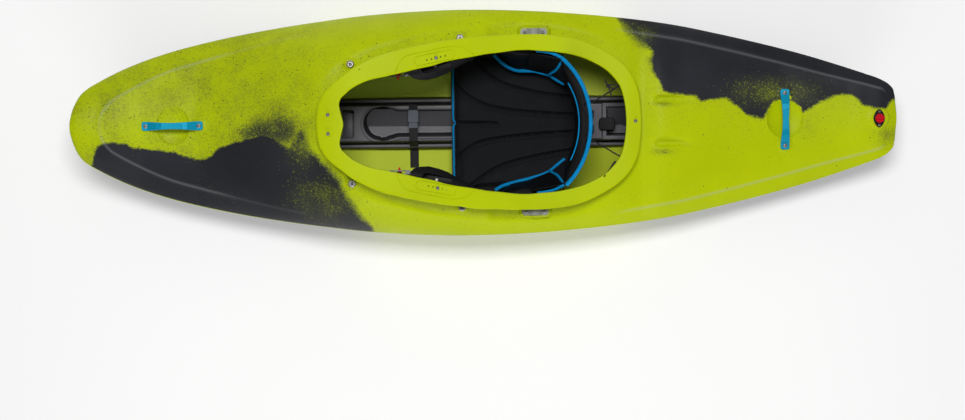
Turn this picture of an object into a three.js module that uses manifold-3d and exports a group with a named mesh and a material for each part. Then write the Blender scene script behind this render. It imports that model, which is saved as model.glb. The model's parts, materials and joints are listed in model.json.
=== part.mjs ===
// A whitewater kayak: a roto-moulded hull with its rim, grab handles, drain plug and outfitting.
// Millimetres. X runs from the bow to the stern, +Y is starboard and +Z is up.
// AHEAD and BEHIND are from midships.
// The origin lies on the ground under the middle of the hull.
import * as THREE from 'three';
import Module from 'manifold-3d';
import { mergeVertices } from 'three/addons/utils/BufferGeometryUtils.js';

const wasm = await Module();
wasm.setup();

// Driving dimensions of the hull
const HULL_LENGTH = 2300;
const HULL_BEAM = 627;
const DECK_HEIGHT = 346;
const HULL_WALL = 6;
const SEAT_GAP = 0.3;
const CUT_OVERRUN = 3;

// Driving dimensions of the cockpit rim
const RIM_LENGTH = 885;
const RIM_WIDTH = 479;
const RIM_FRONT_AHEAD = 458.5;
const RIM_RISE = 28;
const OPENING_LENGTH = 778;
const OPENING_WIDTH = 390;
const OPENING_FRONT_AHEAD = 394;
const FLANGE_THICK = 7;
const LIP_DEPTH = 20;
const LIP_REACH = 22;
const LIP_THICK = 5;
const INNER_LIP_DEPTH = 13;

// Driving dimensions of the handles and the deck fittings
const HANDLE_LENGTH = 169;
const HANDLE_END_WIDTH = 25;
const HANDLE_WAIST_WIDTH = 17;
const HANDLE_THICK = 5;
const HANDLE_ARCH = 15;
const HANDLE_SCREW_SPAN = 147;
const HANDLE_CORNER = 5;
const BOW_HANDLE_FROM_BOW = 281;
const STERN_HANDLE_FROM_STERN = 315;
const HANDLE_PAD_RISE = 2;
const HANDLE_PAD_RADIUS = 17;
const DISH_RADIUS = 50;
const DISH_DEPTH = 9;

const DRAIN_FROM_STERN = 52.5;
const DRAIN_FLANGE_LENGTH = 32;
const DRAIN_FLANGE_WIDTH = 52;
const DRAIN_FLANGE_THICK = 4;
const DRAIN_SCREW_SPAN = 37;
const DRAIN_BORE_RADIUS = 9;
const DRAIN_KNOB_RADIUS = 13;
const DRAIN_KNOB_HEIGHT = 7;
const DRAIN_WING_HEIGHT = 5;
const DRAIN_WING_THICK = 5;
const DRAIN_STEM_LENGTH = 13;
const DRAIN_STEM_CLEARANCE = 1;
const DRAIN_SEAL_THICK = 2.5;
const DRAIN_PAD_RISE = 3;

const BAR_LENGTH = 73;
const BAR_WIDTH = 22;
const BAR_THICK = 4;
const BAR_ARCH = 7;
const BAR_BOLT_SPAN = 50;
const BAR_BEHIND = 133;
const BAR_OUT = 246;
const BAR_PAD_RISE = 2;

const BOLT_HEAD_RADIUS = 6;
const BOLT_HEAD_HEIGHT = 3;
const BOLT_WASHER_RADIUS = 10;
const BOLT_WASHER_THICK = 1.5;
const BOLT_SHANK_RADIUS = 3;
const BOLT_SHANK_LENGTH = 18;
const BOLT_SOCKET_RADIUS = 2.4;
const BOLT_SOCKET_DEPTH = 2;
const BOLT_PAD_RISE = 1;
const SMALL_SCREW_HEAD_RADIUS = 5;
const DRAIN_SCREW_HEAD_RADIUS = 4;
const DRAIN_SCREW_LENGTH = 14.4;
const FRONT_BOLT_AHEAD = 365;
const FRONT_BOLT_OUT = 161;
const SIDE_BOLT_AHEAD = 69;
const SIDE_BOLT_OUT = 231;
const RIM_SCREW_FROM_FRONT = 33.5;
const RIM_SCREW_OUT = 25.5;
const RIM_TAIL_SCREW_FROM_REAR = 17;

const SCOOP_BEHIND = 456;
const SCOOP_LENGTH = 129;
const SCOOP_WIDTH = 23;
const SCOOP_DEPTH = 8;
const SCOOP_OUT = 59.5;

// Driving dimensions of the centre rail and the two pillars
const RAIL_FRONT_AHEAD = 520;
const RAIL_LENGTH = 982;
const RAIL_FOOT_WIDTH = 152;
const RAIL_TOP_WIDTH = 100;
const RAIL_HEIGHT = 60;
const RAIL_WALL = 4;
const KEYHOLE_FROM_FRONT = 216;
const KEYHOLE_RADIUS = 43;
const KEYHOLE_LENGTH = 280;
const CHANNEL_WIDTH = 68;
const RECESS_DEPTH = 26;
const WINDOW_FROM_FRONT = 105;
const WINDOW_LENGTH = 38;
const WINDOW_WIDTH = 84;
const TAIL_RECESS_FROM_FRONT = 865;
const TAIL_RECESS_LENGTH = 95;
const TAIL_RECESS_WIDTH = 80;
const PILLAR_THICK = 44;
const PILLAR_LENGTH = 490;

// Driving dimensions of the seat
const SEAT_FRONT_AHEAD = 99;
const SEAT_LENGTH = 395;
const SEAT_HALF_WIDTH = 196;
const SEAT_FLOOR_HALF_WIDTH = 110;
const SEAT_SIDE_RISE = 26;
const SEAT_THICK = 4;
const SEAT_OVAL_REACH = 254;
const SEAT_OVAL_HALF_WIDTH = 240;
const CUSHION_THICK = 20;
const CUSHION_EDGE_THICK = 9;
const CUSHION_INSET = 4;
const CHANNEL_DEPTH = 4;
const CHANNEL_HALF_WIDTH = 7;
const HANGER_OUT = 207;
const HANGER_THICK = 4;
const HANGER_FROM_SEAT = 160;
const HANGER_LENGTH = 130;
const HANGER_FLANGE_REACH = 46;
const HIP_FROM_SEAT = 124;
const HIP_LENGTH = 170;
const HIP_BOTTOM_THICK = 72;
const HIP_FRONT_THICK = 18;
const HIP_TOP_THICK = 17;
const HIP_HEIGHT = 122;
const HIP_CLEARANCE = 3;

// Driving dimensions of the backband and its hinge
const BAND_RADIUS = 240;
const BAND_HALF_WIDTH = 172;
const BAND_REAR_FROM_SEAT = 383;
const BAND_HEIGHT = 192;
const BAND_END_HEIGHT = 118;
const BAND_CLEARANCE = 25;
const BAND_SHELL_THICK = 4;
const BAND_PAD_THICK = 28;
const BAND_PAD_EDGE_THICK = 12;
const BAND_PAD_OVERHANG = 4;
const HINGE_PIN_RADIUS = 3;
const HINGE_KNUCKLE_RADIUS = 7;
const HINGE_SHELL_KNUCKLE = 22;
const HINGE_SEAT_KNUCKLE = 20;
const HINGE_BEHIND_BAND = 9;
const BAND_CORD_RADIUS = 2;
const BAND_CORD_OUT = 48;
const BAND_CORD_RIM_OUT = 96;
const BAND_CORD_HEIGHT = 145;
const ANCHOR_LENGTH = 46;
const ANCHOR_WIDTH = 36;
const ANCHOR_HEIGHT = 18;
const ANCHOR_FROM_FRONT = 865;

// Driving dimensions of the thigh braces and the ratchets
const BRACE_FROM_RIM = 176;
const BRACE_LENGTH = 250;
const BRACE_THICK = 6;
const BRACE_OUTER_MARGIN = 16;
const BRACE_HOOK_DROP = 32;
const BRACE_PAD_THICK = 8;
const BRACE_SLOT_LENGTH = 84;
const BRACE_SLOT_WIDTH = 24;
const BRACE_BOLT_FROM_RIM = 325;
const BRACE_BOLT_OUT = 175;
const ADJUSTER_PITCH = 12.3;
const ADJUSTER_HOLE_RADIUS = 2.2;
const ADJUSTER_COUNT = 5;
const ADJUSTER_SLANT_SHARE = 0.23;
const RATCHET_FROM_RIM = 196;
const RATCHET_LENGTH = 54;
const RATCHET_HEIGHT = 20;
const RATCHET_PLATE_THICK = 3;
const RATCHET_OUT = 139;
const RATCHET_DROP = 56;
const RATCHET_EAR_REACH = 12;
const LEVER_THICK = 3;
const LEVER_END_REACH = 9;
const RATCHET_PIN_RADIUS = 2;
const RELEASE_LENGTH = 16;
const RELEASE_REACH = 10;
const RELEASE_THICK = 3;
const TENSION_STRAP_WIDTH = 12;
const TENSION_STRAP_THICK = 2.4;

// Driving dimensions of the bottle strap
const BOTTLE_STRAP_FROM_FRONT = 312;
const WEB_WIDTH = 25;
const WEB_THICK = 2;
const WEB_TAIL_OUT = 128;
const BUCKLE_WIDTH = 30;
const BUCKLE_LENGTH = 36;
const BUCKLE_THICK = 9;
const BUCKLE_OUT = 2;
const TONGUE_LENGTH = 16;

// Driving dimensions of the footrest
const FOOT_RAIL_AHEAD = 820;
const FOOT_RAIL_LENGTH = 260;
const FOOT_RAIL_HEIGHT = 24;
const FOOT_RAIL_THICK = 10;
const FOOT_RAIL_LEVEL = 118;
const FOOT_PLATE_AHEAD = 700;
const FOOT_PLATE_WIDTH = 112;
const FOOT_PLATE_HEIGHT = 104;
const FOOT_PLATE_THICK = 8;
const FOOT_SLEEVE_LENGTH = 40;
const FOOT_SLEEVE_WALL = 5;
const FOOT_SLEEVE_GAP = 0.6;

// Shares of the hull's length, then of half its beam
const widthShares = [
  [0, 0.06], [0.003, 0.155], [0.0133, 0.298], [0.0294, 0.388], [0.0641, 0.524], [0.1002, 0.624],
  [0.1367, 0.701], [0.1918, 0.791], [0.2473, 0.861], [0.3029, 0.917], [0.358, 0.963], [0.4129, 0.989],
  [0.4676, 1], [0.504, 0.998], [0.5587, 0.984], [0.6135, 0.956], [0.6687, 0.917], [0.7243, 0.862],
  [0.7801, 0.781], [0.836, 0.686], [0.8915, 0.577], [0.928, 0.491], [0.9633, 0.4], [0.9809, 0.35],
  [0.996, 0.264], [0.999, 0.16], [1, 0.06],
];

// Shares of the hull's length, then of the deck height
const keelShares = [
  [0, 0.627], [0.0043, 0.601], [0.0135, 0.549], [0.0352, 0.436], [0.0709, 0.309], [0.1083, 0.2225],
  [0.147, 0.1445], [0.1857, 0.098], [0.2243, 0.0636], [0.263, 0.0448], [0.3017, 0.0303], [0.3387, 0.0173],
  [0.3757, 0.0058], [0.4126, 0], [0.597, 0], [0.6339, 0.0058], [0.6709, 0.0188], [0.707, 0.0405],
  [0.7422, 0.0665], [0.7778, 0.0954], [0.813, 0.1243], [0.8487, 0.1647], [0.8843, 0.2139], [0.92, 0.263],
  [0.9557, 0.315], [0.9783, 0.347], [0.9957, 0.384], [1, 0.413],
];
const sheerShares = [
  [0, 0.65], [0.0135, 0.5867], [0.0283, 0.529], [0.0422, 0.4855], [0.0609, 0.448], [0.0787, 0.4249],
  [0.1174, 0.4075], [0.1574, 0.4017], [0.2243, 0.422], [0.2887, 0.4595], [0.3413, 0.4855], [0.4161, 0.5173],
  [0.48, 0.5491], [0.5435, 0.5275], [0.6117, 0.5014], [0.6739, 0.4566], [0.7539, 0.3988], [0.8204, 0.3526],
  [0.8609, 0.3468], [0.8939, 0.3497], [0.9304, 0.3757], [0.9665, 0.4162], [0.9957, 0.4422], [1, 0.4393],
];
const crownShares = [
  [0, 0.6705], [0.0087, 0.685], [0.0174, 0.685], [0.0352, 0.6734], [0.0709, 0.636], [0.0852, 0.6156],
  [0.1174, 0.5997], [0.147, 0.5954], [0.1665, 0.6214], [0.1857, 0.6618], [0.2243, 0.7486], [0.2439, 0.8064],
  [0.2826, 0.9017], [0.3226, 0.9827], [0.3522, 1], [0.3878, 0.9942], [0.4261, 0.948], [0.463, 0.8844],
  [0.4935, 0.8208], [0.523, 0.7688], [0.5565, 0.7341], [0.5935, 0.711], [0.6313, 0.6994], [0.6683, 0.6821],
  [0.687, 0.656], [0.6978, 0.6763], [0.7091, 0.6965], [0.7422, 0.6532], [0.7778, 0.5954], [0.813, 0.5462],
  [0.8487, 0.5], [0.8665, 0.4827], [0.9378, 0.4827], [0.9557, 0.4884], [0.9735, 0.4884], [0.9913, 0.474],
  [1, 0.4538],
];

// How boxy the deck's cross-section is along the hull
const fullnessShares = [
  [0, 2.2], [0.24, 2.4], [0.3, 3], [0.3878, 3.8], [0.463, 3.8], [0.523, 3.5], [0.5935, 3], [0.6313, 2.6],
  [0.668, 2.4], [0.72, 2.2], [1, 2.2],
];
const DECK_ROUND_SHARE = 0.769;

// Cross-section below the sheer: shares of the half width, then of the height from keel to sheer
const sideShares = [[0.38, 0], [0.76, 0], [0.87, 0.1], [0.945, 0.38], [0.985, 0.7], [1, 1]];
const deckShares = [0.96, 0.9, 0.82, 0.7, 0.55, 0.38, 0.2];
const STATION_STEP_SHARE = 0.028;
const CAVITY_STEP_SHARE = 0.045;
const CAVITY_END_SHARE = 0.02;

// Shares of the rim's length, then of half its width, for its outer edge and its opening
const rimShares = [
  [0, 0], [0.007, 0.218], [0.0233, 0.34], [0.0478, 0.437], [0.0809, 0.532], [0.1097, 0.615], [0.1369, 0.669],
  [0.1662, 0.722], [0.2055, 0.78], [0.2515, 0.823], [0.3103, 0.8726], [0.3752, 0.919], [0.4415, 0.952],
  [0.5278, 0.986], [0.6206, 1], [0.7138, 0.995], [0.8071, 0.938], [0.8797, 0.823], [0.9365, 0.682],
  [0.9742, 0.5136], [0.9929, 0.332], [0.9988, 0.15], [1, 0],
];
const openingShares = [
  [0.0135, 0], [0.005, 0.149], [0, 0.285], [0.0055, 0.35], [0.0166, 0.392], [0.0404, 0.476], [0.0998, 0.592],
  [0.165, 0.649], [0.2413, 0.718], [0.3366, 0.808], [0.448, 0.905], [0.5324, 0.962], [0.682, 1],
  [0.7682, 0.969], [0.8754, 0.846], [0.9395, 0.687], [0.983, 0.448], [0.9955, 0.241], [1, 0],
];

// Shares of the rim's length, then of its rise over the line of the deck
const riseShares = [
  [0, 1], [0.1, 0.93], [0.2266, 0.78], [0.4218, 0.8], [0.5777, 1], [0.6738, 0.84], [0.761, 0.72],
  [0.866, 0.61], [1, 0.9],
];
// Shares of the dish's radius, then of its depth
const dishShares = [[0, -1], [0.35, -0.86], [0.65, -0.56], [0.88, -0.2], [1, 0]];

// Shares of a groove's length, then of its depth
const scoopShares = [[0, 0.1], [0.12, 0.8], [0.3, 1], [0.55, 0.75], [0.8, 0.4], [1, 0.1]];
const RIM_STEPS = 60;
const OUTLINE_SAMPLES = 360;
const ROUND_STEPS = 16;
const SMALL_ROUND_STEPS = 8;
const STRAP_STEPS = 28;

// Sewn channels of the seat cushion: shares of its length, then of its half width
const innerChannelShares = [[0, 0.62], [0.1, 0.43], [0.23, 0.28], [0.4, 0.19], [0.65, 0.135], [1, 0.1]];
const outerChannelShares = [
  [0, 0.965], [0.1, 0.955], [0.19, 0.92], [0.28, 0.715], [0.4, 0.56], [0.65, 0.43], [1, 0.35],
];

// Shares of the brace's length, then of the opening's half width at its own place along the boat
const braceEdgeShares = [[0, 0.99], [0.1, 0.88], [0.42, 0.77], [0.64, 0.79], [0.8, 0.88], [1, 0.985]];

// Materials
const finishes = {
  hull: { color: 0xb8cc00, roughness: 0.42, metalness: 0 },
  teal: { color: 0x0a93ad, roughness: 0.3, metalness: 0.8 },
  steel: { color: 0xb8b8ba, roughness: 0.3, metalness: 0.9 },
  blackPlastic: { color: 0x2a2a2e, roughness: 0.55, metalness: 0 },
  greyPlastic: { color: 0x6c7486, roughness: 0.5, metalness: 0 },
  redPlastic: { color: 0xc81428, roughness: 0.4, metalness: 0 },
  neoprene: { color: 0x1b1b1f, roughness: 0.9, metalness: 0 },
  foam: { color: 0x2c2d31, roughness: 0.95, metalness: 0 },
  webbing: { color: 0x141416, roughness: 0.85, metalness: 0 },
  rubber: { color: 0x111113, roughness: 0.8, metalness: 0 },
};
const materials = Object.fromEntries(
  Object.entries(finishes).map(([name, finish]) => [name, new THREE.MeshStandardMaterial(finish)]),
);

const axisX = new THREE.Vector3(1, 0, 0);
const axisY = new THREE.Vector3(0, 1, 0);
const axisZ = new THREE.Vector3(0, 0, 1);
const bow = -HULL_LENGTH / 2;
const stern = HULL_LENGTH / 2;
const sides = [['port', -1], ['starboard', 1]];

const kayak = new THREE.Group();

function place(name, geometry, material) {
  geometry.computeVertexNormals();
  const piece = new THREE.Mesh(geometry, material);
  piece.name = name;
  kayak.add(piece);
}

// A smooth curve through rows of place and value that never overshoots them.
function smoothCurve(rows) {
  const grades = rows.slice(1).map(([at, value], i) => (value - rows[i][1]) / (at - rows[i][0]));
  const slopes = rows.map((row, i) => {
    if (i === 0) return grades[0];
    if (i === rows.length - 1) return grades[i - 1];
    const product = grades[i - 1] * grades[i];
    return product > 0 ? (2 * product) / (grades[i - 1] + grades[i]) : 0;
  });
  return (at) => {
    let i = rows.findIndex((row) => row[0] >= at) - 1;
    if (i < 0) i = at <= rows[0][0] ? 0 : rows.length - 2;
    const [start, low] = rows[i];
    const [end, high] = rows[i + 1];
    const span = end - start;
    const t = THREE.MathUtils.clamp((at - start) / span, 0, 1);
    const back = 1 - t;
    const ends = low * (1 + 2 * t) * back * back + high * (1 + 2 * back) * t * t;
    return ends + span * t * back * (slopes[i] * back - slopes[i + 1] * t);
  };
}

const widthShare = smoothCurve(widthShares);
const keelShare = smoothCurve(keelShares);
const sheerShare = smoothCurve(sheerShares);
const crownShare = smoothCurve(crownShares);
const fullness = smoothCurve(fullnessShares);
const riseShare = smoothCurve(riseShares);
const innerChannelShare = smoothCurve(innerChannelShares);
const outerChannelShare = smoothCurve(outerChannelShares);
const braceEdgeShare = smoothCurve(braceEdgeShares);

const along = (x) => (x - bow) / HULL_LENGTH;
const halfBeam = (x) => (HULL_BEAM / 2) * widthShare(along(x));
const keelHeight = (x) => DECK_HEIGHT * keelShare(along(x));
const sheerHeight = (x) => DECK_HEIGHT * sheerShare(along(x));
const crownHeight = (x) => DECK_HEIGHT * crownShare(along(x));

// Height of the deck's outside, or of its underside when the wall is given as inset.
function deckHeight(x, y, inset = 0) {
  const across = Math.min(Math.abs(y) / (halfBeam(x) - inset), 1);
  const rise = (1 - across ** fullness(along(x))) ** DECK_ROUND_SHARE;
  return sheerHeight(x) + (crownHeight(x) - inset - sheerHeight(x)) * rise;
}

const rimFront = -RIM_FRONT_AHEAD;
const rimRear = rimFront + RIM_LENGTH;
const rimTop = (x) => crownHeight(x) + RIM_RISE * riseShare((x - rimFront) / RIM_LENGTH);

// Splits the mesh into shared corners, drops triangles with no area and turns the faces outwards.
function welded(geometry) {
  const bare = geometry.clone();
  for (const name of Object.keys(bare.attributes)) {
    if (name !== 'position') bare.deleteAttribute(name);
  }
  const merged = mergeVertices(bare);
  const source = merged.index.array;
  const corners = [];
  for (let i = 0; i < source.length; i += 3) {
    const [a, b, c] = source.slice(i, i + 3);
    if (a !== b && b !== c && c !== a) corners.push(a, b, c);
  }
  if (signedVolume(merged.attributes.position, corners) < 0) corners.reverse();
  merged.setIndex(corners);
  return merged;
}

function signedVolume(position, corners) {
  const [a, b, c] = [new THREE.Vector3(), new THREE.Vector3(), new THREE.Vector3()];
  let total = 0;
  for (let i = 0; i < corners.length; i += 3) {
    a.fromBufferAttribute(position, corners[i]);
    b.fromBufferAttribute(position, corners[i + 1]);
    c.fromBufferAttribute(position, corners[i + 2]);
    total += a.dot(b.cross(c)) / 6;
  }
  return total;
}

function solid(geometry) {
  const mesh = welded(geometry);
  return new wasm.Manifold(
    new wasm.Mesh({
      numProp: 3,
      vertProperties: new Float32Array(mesh.attributes.position.array),
      triVerts: new Uint32Array(mesh.index.array),
    }),
  );
}

function geometryOf(body) {
  const mesh = body.getMesh();
  const geometry = new THREE.BufferGeometry();
  geometry.setAttribute('position', new THREE.BufferAttribute(new Float32Array(mesh.vertProperties), 3));
  geometry.setIndex(new THREE.BufferAttribute(new Uint32Array(mesh.triVerts), 1));
  return geometry;
}

// Triangles that close a flat ring, from whichever two axes it lies most along.
function capTriangles(ring) {
  const normal = new THREE.Vector3();
  ring.forEach((point, i) => normal.add(point.clone().cross(ring[(i + 1) % ring.length])));
  const sizes = normal.toArray().map(Math.abs);
  const drop = sizes.indexOf(Math.max(...sizes));
  const flat = ring.map((point) => new THREE.Vector2(...point.toArray().filter((_, axis) => axis !== drop)));
  return THREE.ShapeUtils.triangulateShape(flat, []);
}

// A closed solid through rings of equally many points. A loop of rings joins its last ring to its first.
function skin(rings, loop = false) {
  const count = rings[0].length;
  const positions = rings.flat().flatMap((point) => point.toArray());
  const index = [];
  const spans = loop ? rings.length : rings.length - 1;
  for (let i = 0; i < spans; i += 1) {
    const here = i * count;
    const next = ((i + 1) % rings.length) * count;
    for (let j = 0; j < count; j += 1) {
      const k = (j + 1) % count;
      index.push(here + j, next + j, next + k, here + j, next + k, here + k);
    }
  }
  if (!loop) {
    index.push(...cap(rings[0], 0, true));
    index.push(...cap(rings.at(-1), (rings.length - 1) * count, false));
  }
  const geometry = new THREE.BufferGeometry();
  geometry.setAttribute('position', new THREE.Float32BufferAttribute(positions, 3));
  geometry.setIndex(index);
  return welded(geometry);
}

// The end of a skin, turned so that its edges run up or down the order of the ring.
function cap(ring, first, ascending) {
  const triangles = capTriangles(ring);
  const edges = triangles.flatMap(([a, b, c]) => [[a, b], [b, c], [c, a]]);
  const [from, to] = edges.find(([a, b]) => Math.abs(a - b) === 1);
  const turned = (from < to) === ascending;
  return triangles.flatMap(([a, b, c]) => (turned ? [a, b, c] : [a, c, b]).map((corner) => first + corner));
}

const vector = (x, y, z) => new THREE.Vector3(x, y, z);

// A flat outline in the u, v plane pushed out along the third axis from start.
function pushed(outline, depth, u, v, start = 0) {
  const shape = new THREE.Shape(outline.map(([a, b]) => new THREE.Vector2(a, b)));
  const geometry = new THREE.ExtrudeGeometry(shape, { depth, bevelEnabled: false });
  geometry.translate(0, 0, start);
  geometry.applyMatrix4(new THREE.Matrix4().makeBasis(u, v, u.clone().cross(v)));
  return welded(geometry);
}

const upright = (outline, bottom, top) => pushed(outline, top - bottom, axisX, axisY, bottom);
const lengthwise = (outline, start, end) => pushed(outline, end - start, axisY, axisZ, start);
const crosswise = (outline, middle, width) => pushed(outline, width, axisX, axisZ, -middle - width / 2);

function box(x0, x1, y0, y1, z0, z1) {
  const geometry = new THREE.BoxGeometry(x1 - x0, y1 - y0, z1 - z0);
  geometry.translate((x0 + x1) / 2, (y0 + y1) / 2, (z0 + z1) / 2);
  return geometry;
}

// A round solid on the Z axis: rows of radius and height, starting and ending on the axis.
function turned(profile, steps = ROUND_STEPS) {
  const geometry = new THREE.LatheGeometry(profile.map(([r, z]) => new THREE.Vector2(r, z)), steps);
  geometry.rotateX(Math.PI / 2);
  return welded(geometry);
}

function rod(radius, bottom, top, steps = SMALL_ROUND_STEPS) {
  return turned([[0, bottom], [radius, bottom], [radius, top], [0, top]], steps);
}

// A round rod along Y from its inner to its outer end.
function crossRod(radius, x, z, from, to, steps = SMALL_ROUND_STEPS) {
  const geometry = rod(radius, from, to, steps);
  geometry.rotateX(-Math.PI / 2);
  return geometry.translate(x, 0, z);
}

// A rectangle with rounded corners, centred on a place.
function roundedOutline(length, width, radius, x = 0, y = 0, steps = 3) {
  const points = [];
  const centres = [[1, 1], [-1, 1], [-1, -1], [1, -1]];
  centres.forEach(([sx, sy], corner) => {
    for (let i = 0; i <= steps; i += 1) {
      const angle = (corner + i / steps) * (Math.PI / 2);
      points.push([
        x + sx * (length / 2 - radius) + radius * Math.cos(angle),
        y + sy * (width / 2 - radius) + radius * Math.sin(angle),
      ]);
    }
  });
  return points;
}

function circleOutline(radius, x, y, steps = ROUND_STEPS) {
  return Array.from({ length: steps }, (_, i) => {
    const angle = (i / steps) * 2 * Math.PI;
    return [x + radius * Math.cos(angle), y + radius * Math.sin(angle)];
  });
}

const mirrored = (points, side) => points.map(([a, b]) => [a, b * side]);

// A round-topped rod of smooth route, or a flat strap standing on edge along it.
function cordAlong(points, radius, sideCount = SMALL_ROUND_STEPS) {
  const path = new THREE.CatmullRomCurve3(points);
  const steps = Math.min(Math.ceil(path.getLength() / (radius * 5)), 80);
  const circle = circleOutline(radius, 0, 0, sideCount);
  const section = new THREE.Shape(circle.map(([a, b]) => new THREE.Vector2(a, b)));
  return welded(new THREE.ExtrudeGeometry(section, { extrudePath: path, steps, bevelEnabled: false }));
}

function strapAlong(points, width, thick, steps) {
  const path = new THREE.CatmullRomCurve3(points);
  const rings = Array.from({ length: steps + 1 }, (_, i) => {
    const centre = path.getPointAt(i / steps);
    const across = path.getTangentAt(i / steps).cross(axisZ).normalize().multiplyScalar(thick / 2);
    const half = vector(0, 0, width / 2);
    return [
      centre.clone().add(across).add(half),
      centre.clone().sub(across).add(half),
      centre.clone().sub(across).sub(half),
      centre.clone().add(across).sub(half),
    ];
  });
  return skin(rings);
}

// The closed rim and opening outlines, as radius by angle round one shared centre.
const rimCentre = rimFront + RIM_LENGTH / 2;
function outlineRadius(shares, front, length, width) {
  const half = shares.map(([place, out]) => vector(front + place * length, (out * width) / 2, 0));
  const other = half.slice(1, -1).reverse().map((point) => vector(point.x, -point.y, 0));
  const curve = new THREE.CatmullRomCurve3([...half, ...other], true);
  const rows = curve.getPoints(OUTLINE_SAMPLES).slice(0, -1)
    .map((point) => [Math.atan2(point.y, point.x - rimCentre), Math.hypot(point.y, point.x - rimCentre)])
    .sort((a, b) => a[0] - b[0]);
  const turn = 2 * Math.PI;
  rows.unshift([rows.at(-1)[0] - turn, rows.at(-1)[1]]);
  rows.push([rows[1][0] + turn, rows[1][1]]);
  return (angle) => {
    const wrapped = angle > Math.PI ? angle - turn : angle;
    const i = Math.max(rows.findIndex((row) => row[0] >= wrapped), 1);
    const t = (wrapped - rows[i - 1][0]) / (rows[i][0] - rows[i - 1][0]);
    return rows[i - 1][1] + t * (rows[i][1] - rows[i - 1][1]);
  };
}
const openingFront = -OPENING_FRONT_AHEAD;
const rimRadius = outlineRadius(rimShares, rimFront, RIM_LENGTH, RIM_WIDTH);
const openingRadius = outlineRadius(openingShares, openingFront, OPENING_LENGTH, OPENING_WIDTH);

// How far out the rim, or its opening, reaches at a place along the boat.
function reachAt(radiusBy) {
  const points = Array.from({ length: OUTLINE_SAMPLES }, (_, i) => {
    const angle = (i / (OUTLINE_SAMPLES - 1)) * Math.PI;
    return [rimCentre + radiusBy(angle) * Math.cos(angle), radiusBy(angle) * Math.sin(angle)];
  }).sort((a, b) => a[0] - b[0]);
  return (x) => {
    const i = THREE.MathUtils.clamp(points.findIndex((point) => point[0] >= x), 1, points.length - 1);
    const t = THREE.MathUtils.clamp((x - points[i - 1][0]) / (points[i][0] - points[i - 1][0]), 0, 1);
    return points[i - 1][1] + t * (points[i][1] - points[i - 1][1]);
  };
}
const rimReach = reachAt(rimRadius);
const openingReach = reachAt(openingRadius);

function hullRing(share, inset = 0) {
  const x = bow + share * HULL_LENGTH;
  const out = halfBeam(x) - inset;
  const keel = keelHeight(x) + inset;
  const sheer = sheerHeight(x);
  const side = sideShares.map(([w, h]) => [w * out, keel + h * (sheer - keel)]);
  const deck = deckShares.map((w) => [w * out, deckHeight(x, w * out, inset)]);
  const half = [...side, ...deck];
  const port = half.map(([y, z]) => vector(x, -y, z)).reverse();
  const starboard = half.map(([y, z]) => vector(x, y, z));
  return [vector(x, 0, keel), ...starboard, vector(x, 0, crownHeight(x) - inset), ...port];
}

function stations(ends, step) {
  const shares = [];
  for (let share = 2 * step; share < 1 - 1.5 * step; share += step) shares.push(share);
  return [...ends, ...shares, ...ends.map((share) => 1 - share).reverse()];
}
const hullStations = stations([0, 0.003, 0.0133, 0.0294], STATION_STEP_SHARE);
const cavityStations = stations([CAVITY_END_SHARE, CAVITY_END_SHARE * 2], CAVITY_STEP_SHARE);

// Places along the cavity between two ends where its floor changes slope, with both ends.
function floorPlaces(start, end) {
  const places = cavityStations.map((share) => bow + share * HULL_LENGTH);
  return [start, ...places.filter((x) => x > start && x < end), end];
}

// Height of the cavity's floor, straight between its stations.
function floorHeight(x) {
  const i = Math.max(cavityStations.findIndex((share) => share >= along(x)), 1);
  const [low, high] = [cavityStations[i - 1], cavityStations[i]];
  const t = (along(x) - low) / (high - low);
  const at = (share) => keelHeight(bow + share * HULL_LENGTH);
  return HULL_WALL + at(low) * (1 - t) + at(high) * t;
}

// The rim's section at an angle: inner lip, flange, outer lip and the wall that stands on the deck.
function rimRing(angle) {
  const outer = rimRadius(angle);
  const inner = openingRadius(angle);
  const wallOut = outer - LIP_REACH;
  const wallIn = wallOut - HULL_WALL;
  const at = (radius, drop) => {
    const x = rimCentre + radius * Math.cos(angle);
    return vector(x, radius * Math.sin(angle), rimTop(x) - drop);
  };
  const foot = (radius) => {
    const point = at(radius, 0);
    point.z = deckHeight(point.x, point.y, 0) - HULL_WALL - CUT_OVERRUN / 2;
    return point;
  };
  const lipRound = LIP_THICK / 2;
  return [
    at(inner, INNER_LIP_DEPTH),
    at(inner, lipRound),
    at(inner + lipRound, 0),
    at(outer - lipRound, 0),
    at(outer, lipRound),
    at(outer, LIP_DEPTH),
    at(outer - LIP_THICK, LIP_DEPTH),
    at(outer - LIP_THICK, FLANGE_THICK),
    at(wallOut, FLANGE_THICK),
    foot(wallOut),
    foot(wallIn),
    at(wallIn, FLANGE_THICK),
    at(inner + LIP_THICK, FLANGE_THICK),
    at(inner + LIP_THICK, INNER_LIP_DEPTH),
  ];
}

function rimBody(drop) {
  const rings = Array.from({ length: RIM_STEPS }, (_, i) => rimRing((i / RIM_STEPS) * 2 * Math.PI));
  return solid(skin(rings, true).translate(0, 0, -drop));
}

function cockpitHole() {
  const outline = Array.from({ length: RIM_STEPS }, (_, i) => {
    const angle = (i / RIM_STEPS) * 2 * Math.PI;
    const radius = rimRadius(angle) - LIP_REACH - HULL_WALL / 2;
    return [rimCentre + radius * Math.cos(angle), radius * Math.sin(angle)];
  });
  return upright(outline, DECK_HEIGHT / 3, DECK_HEIGHT + RIM_RISE);
}

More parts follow.
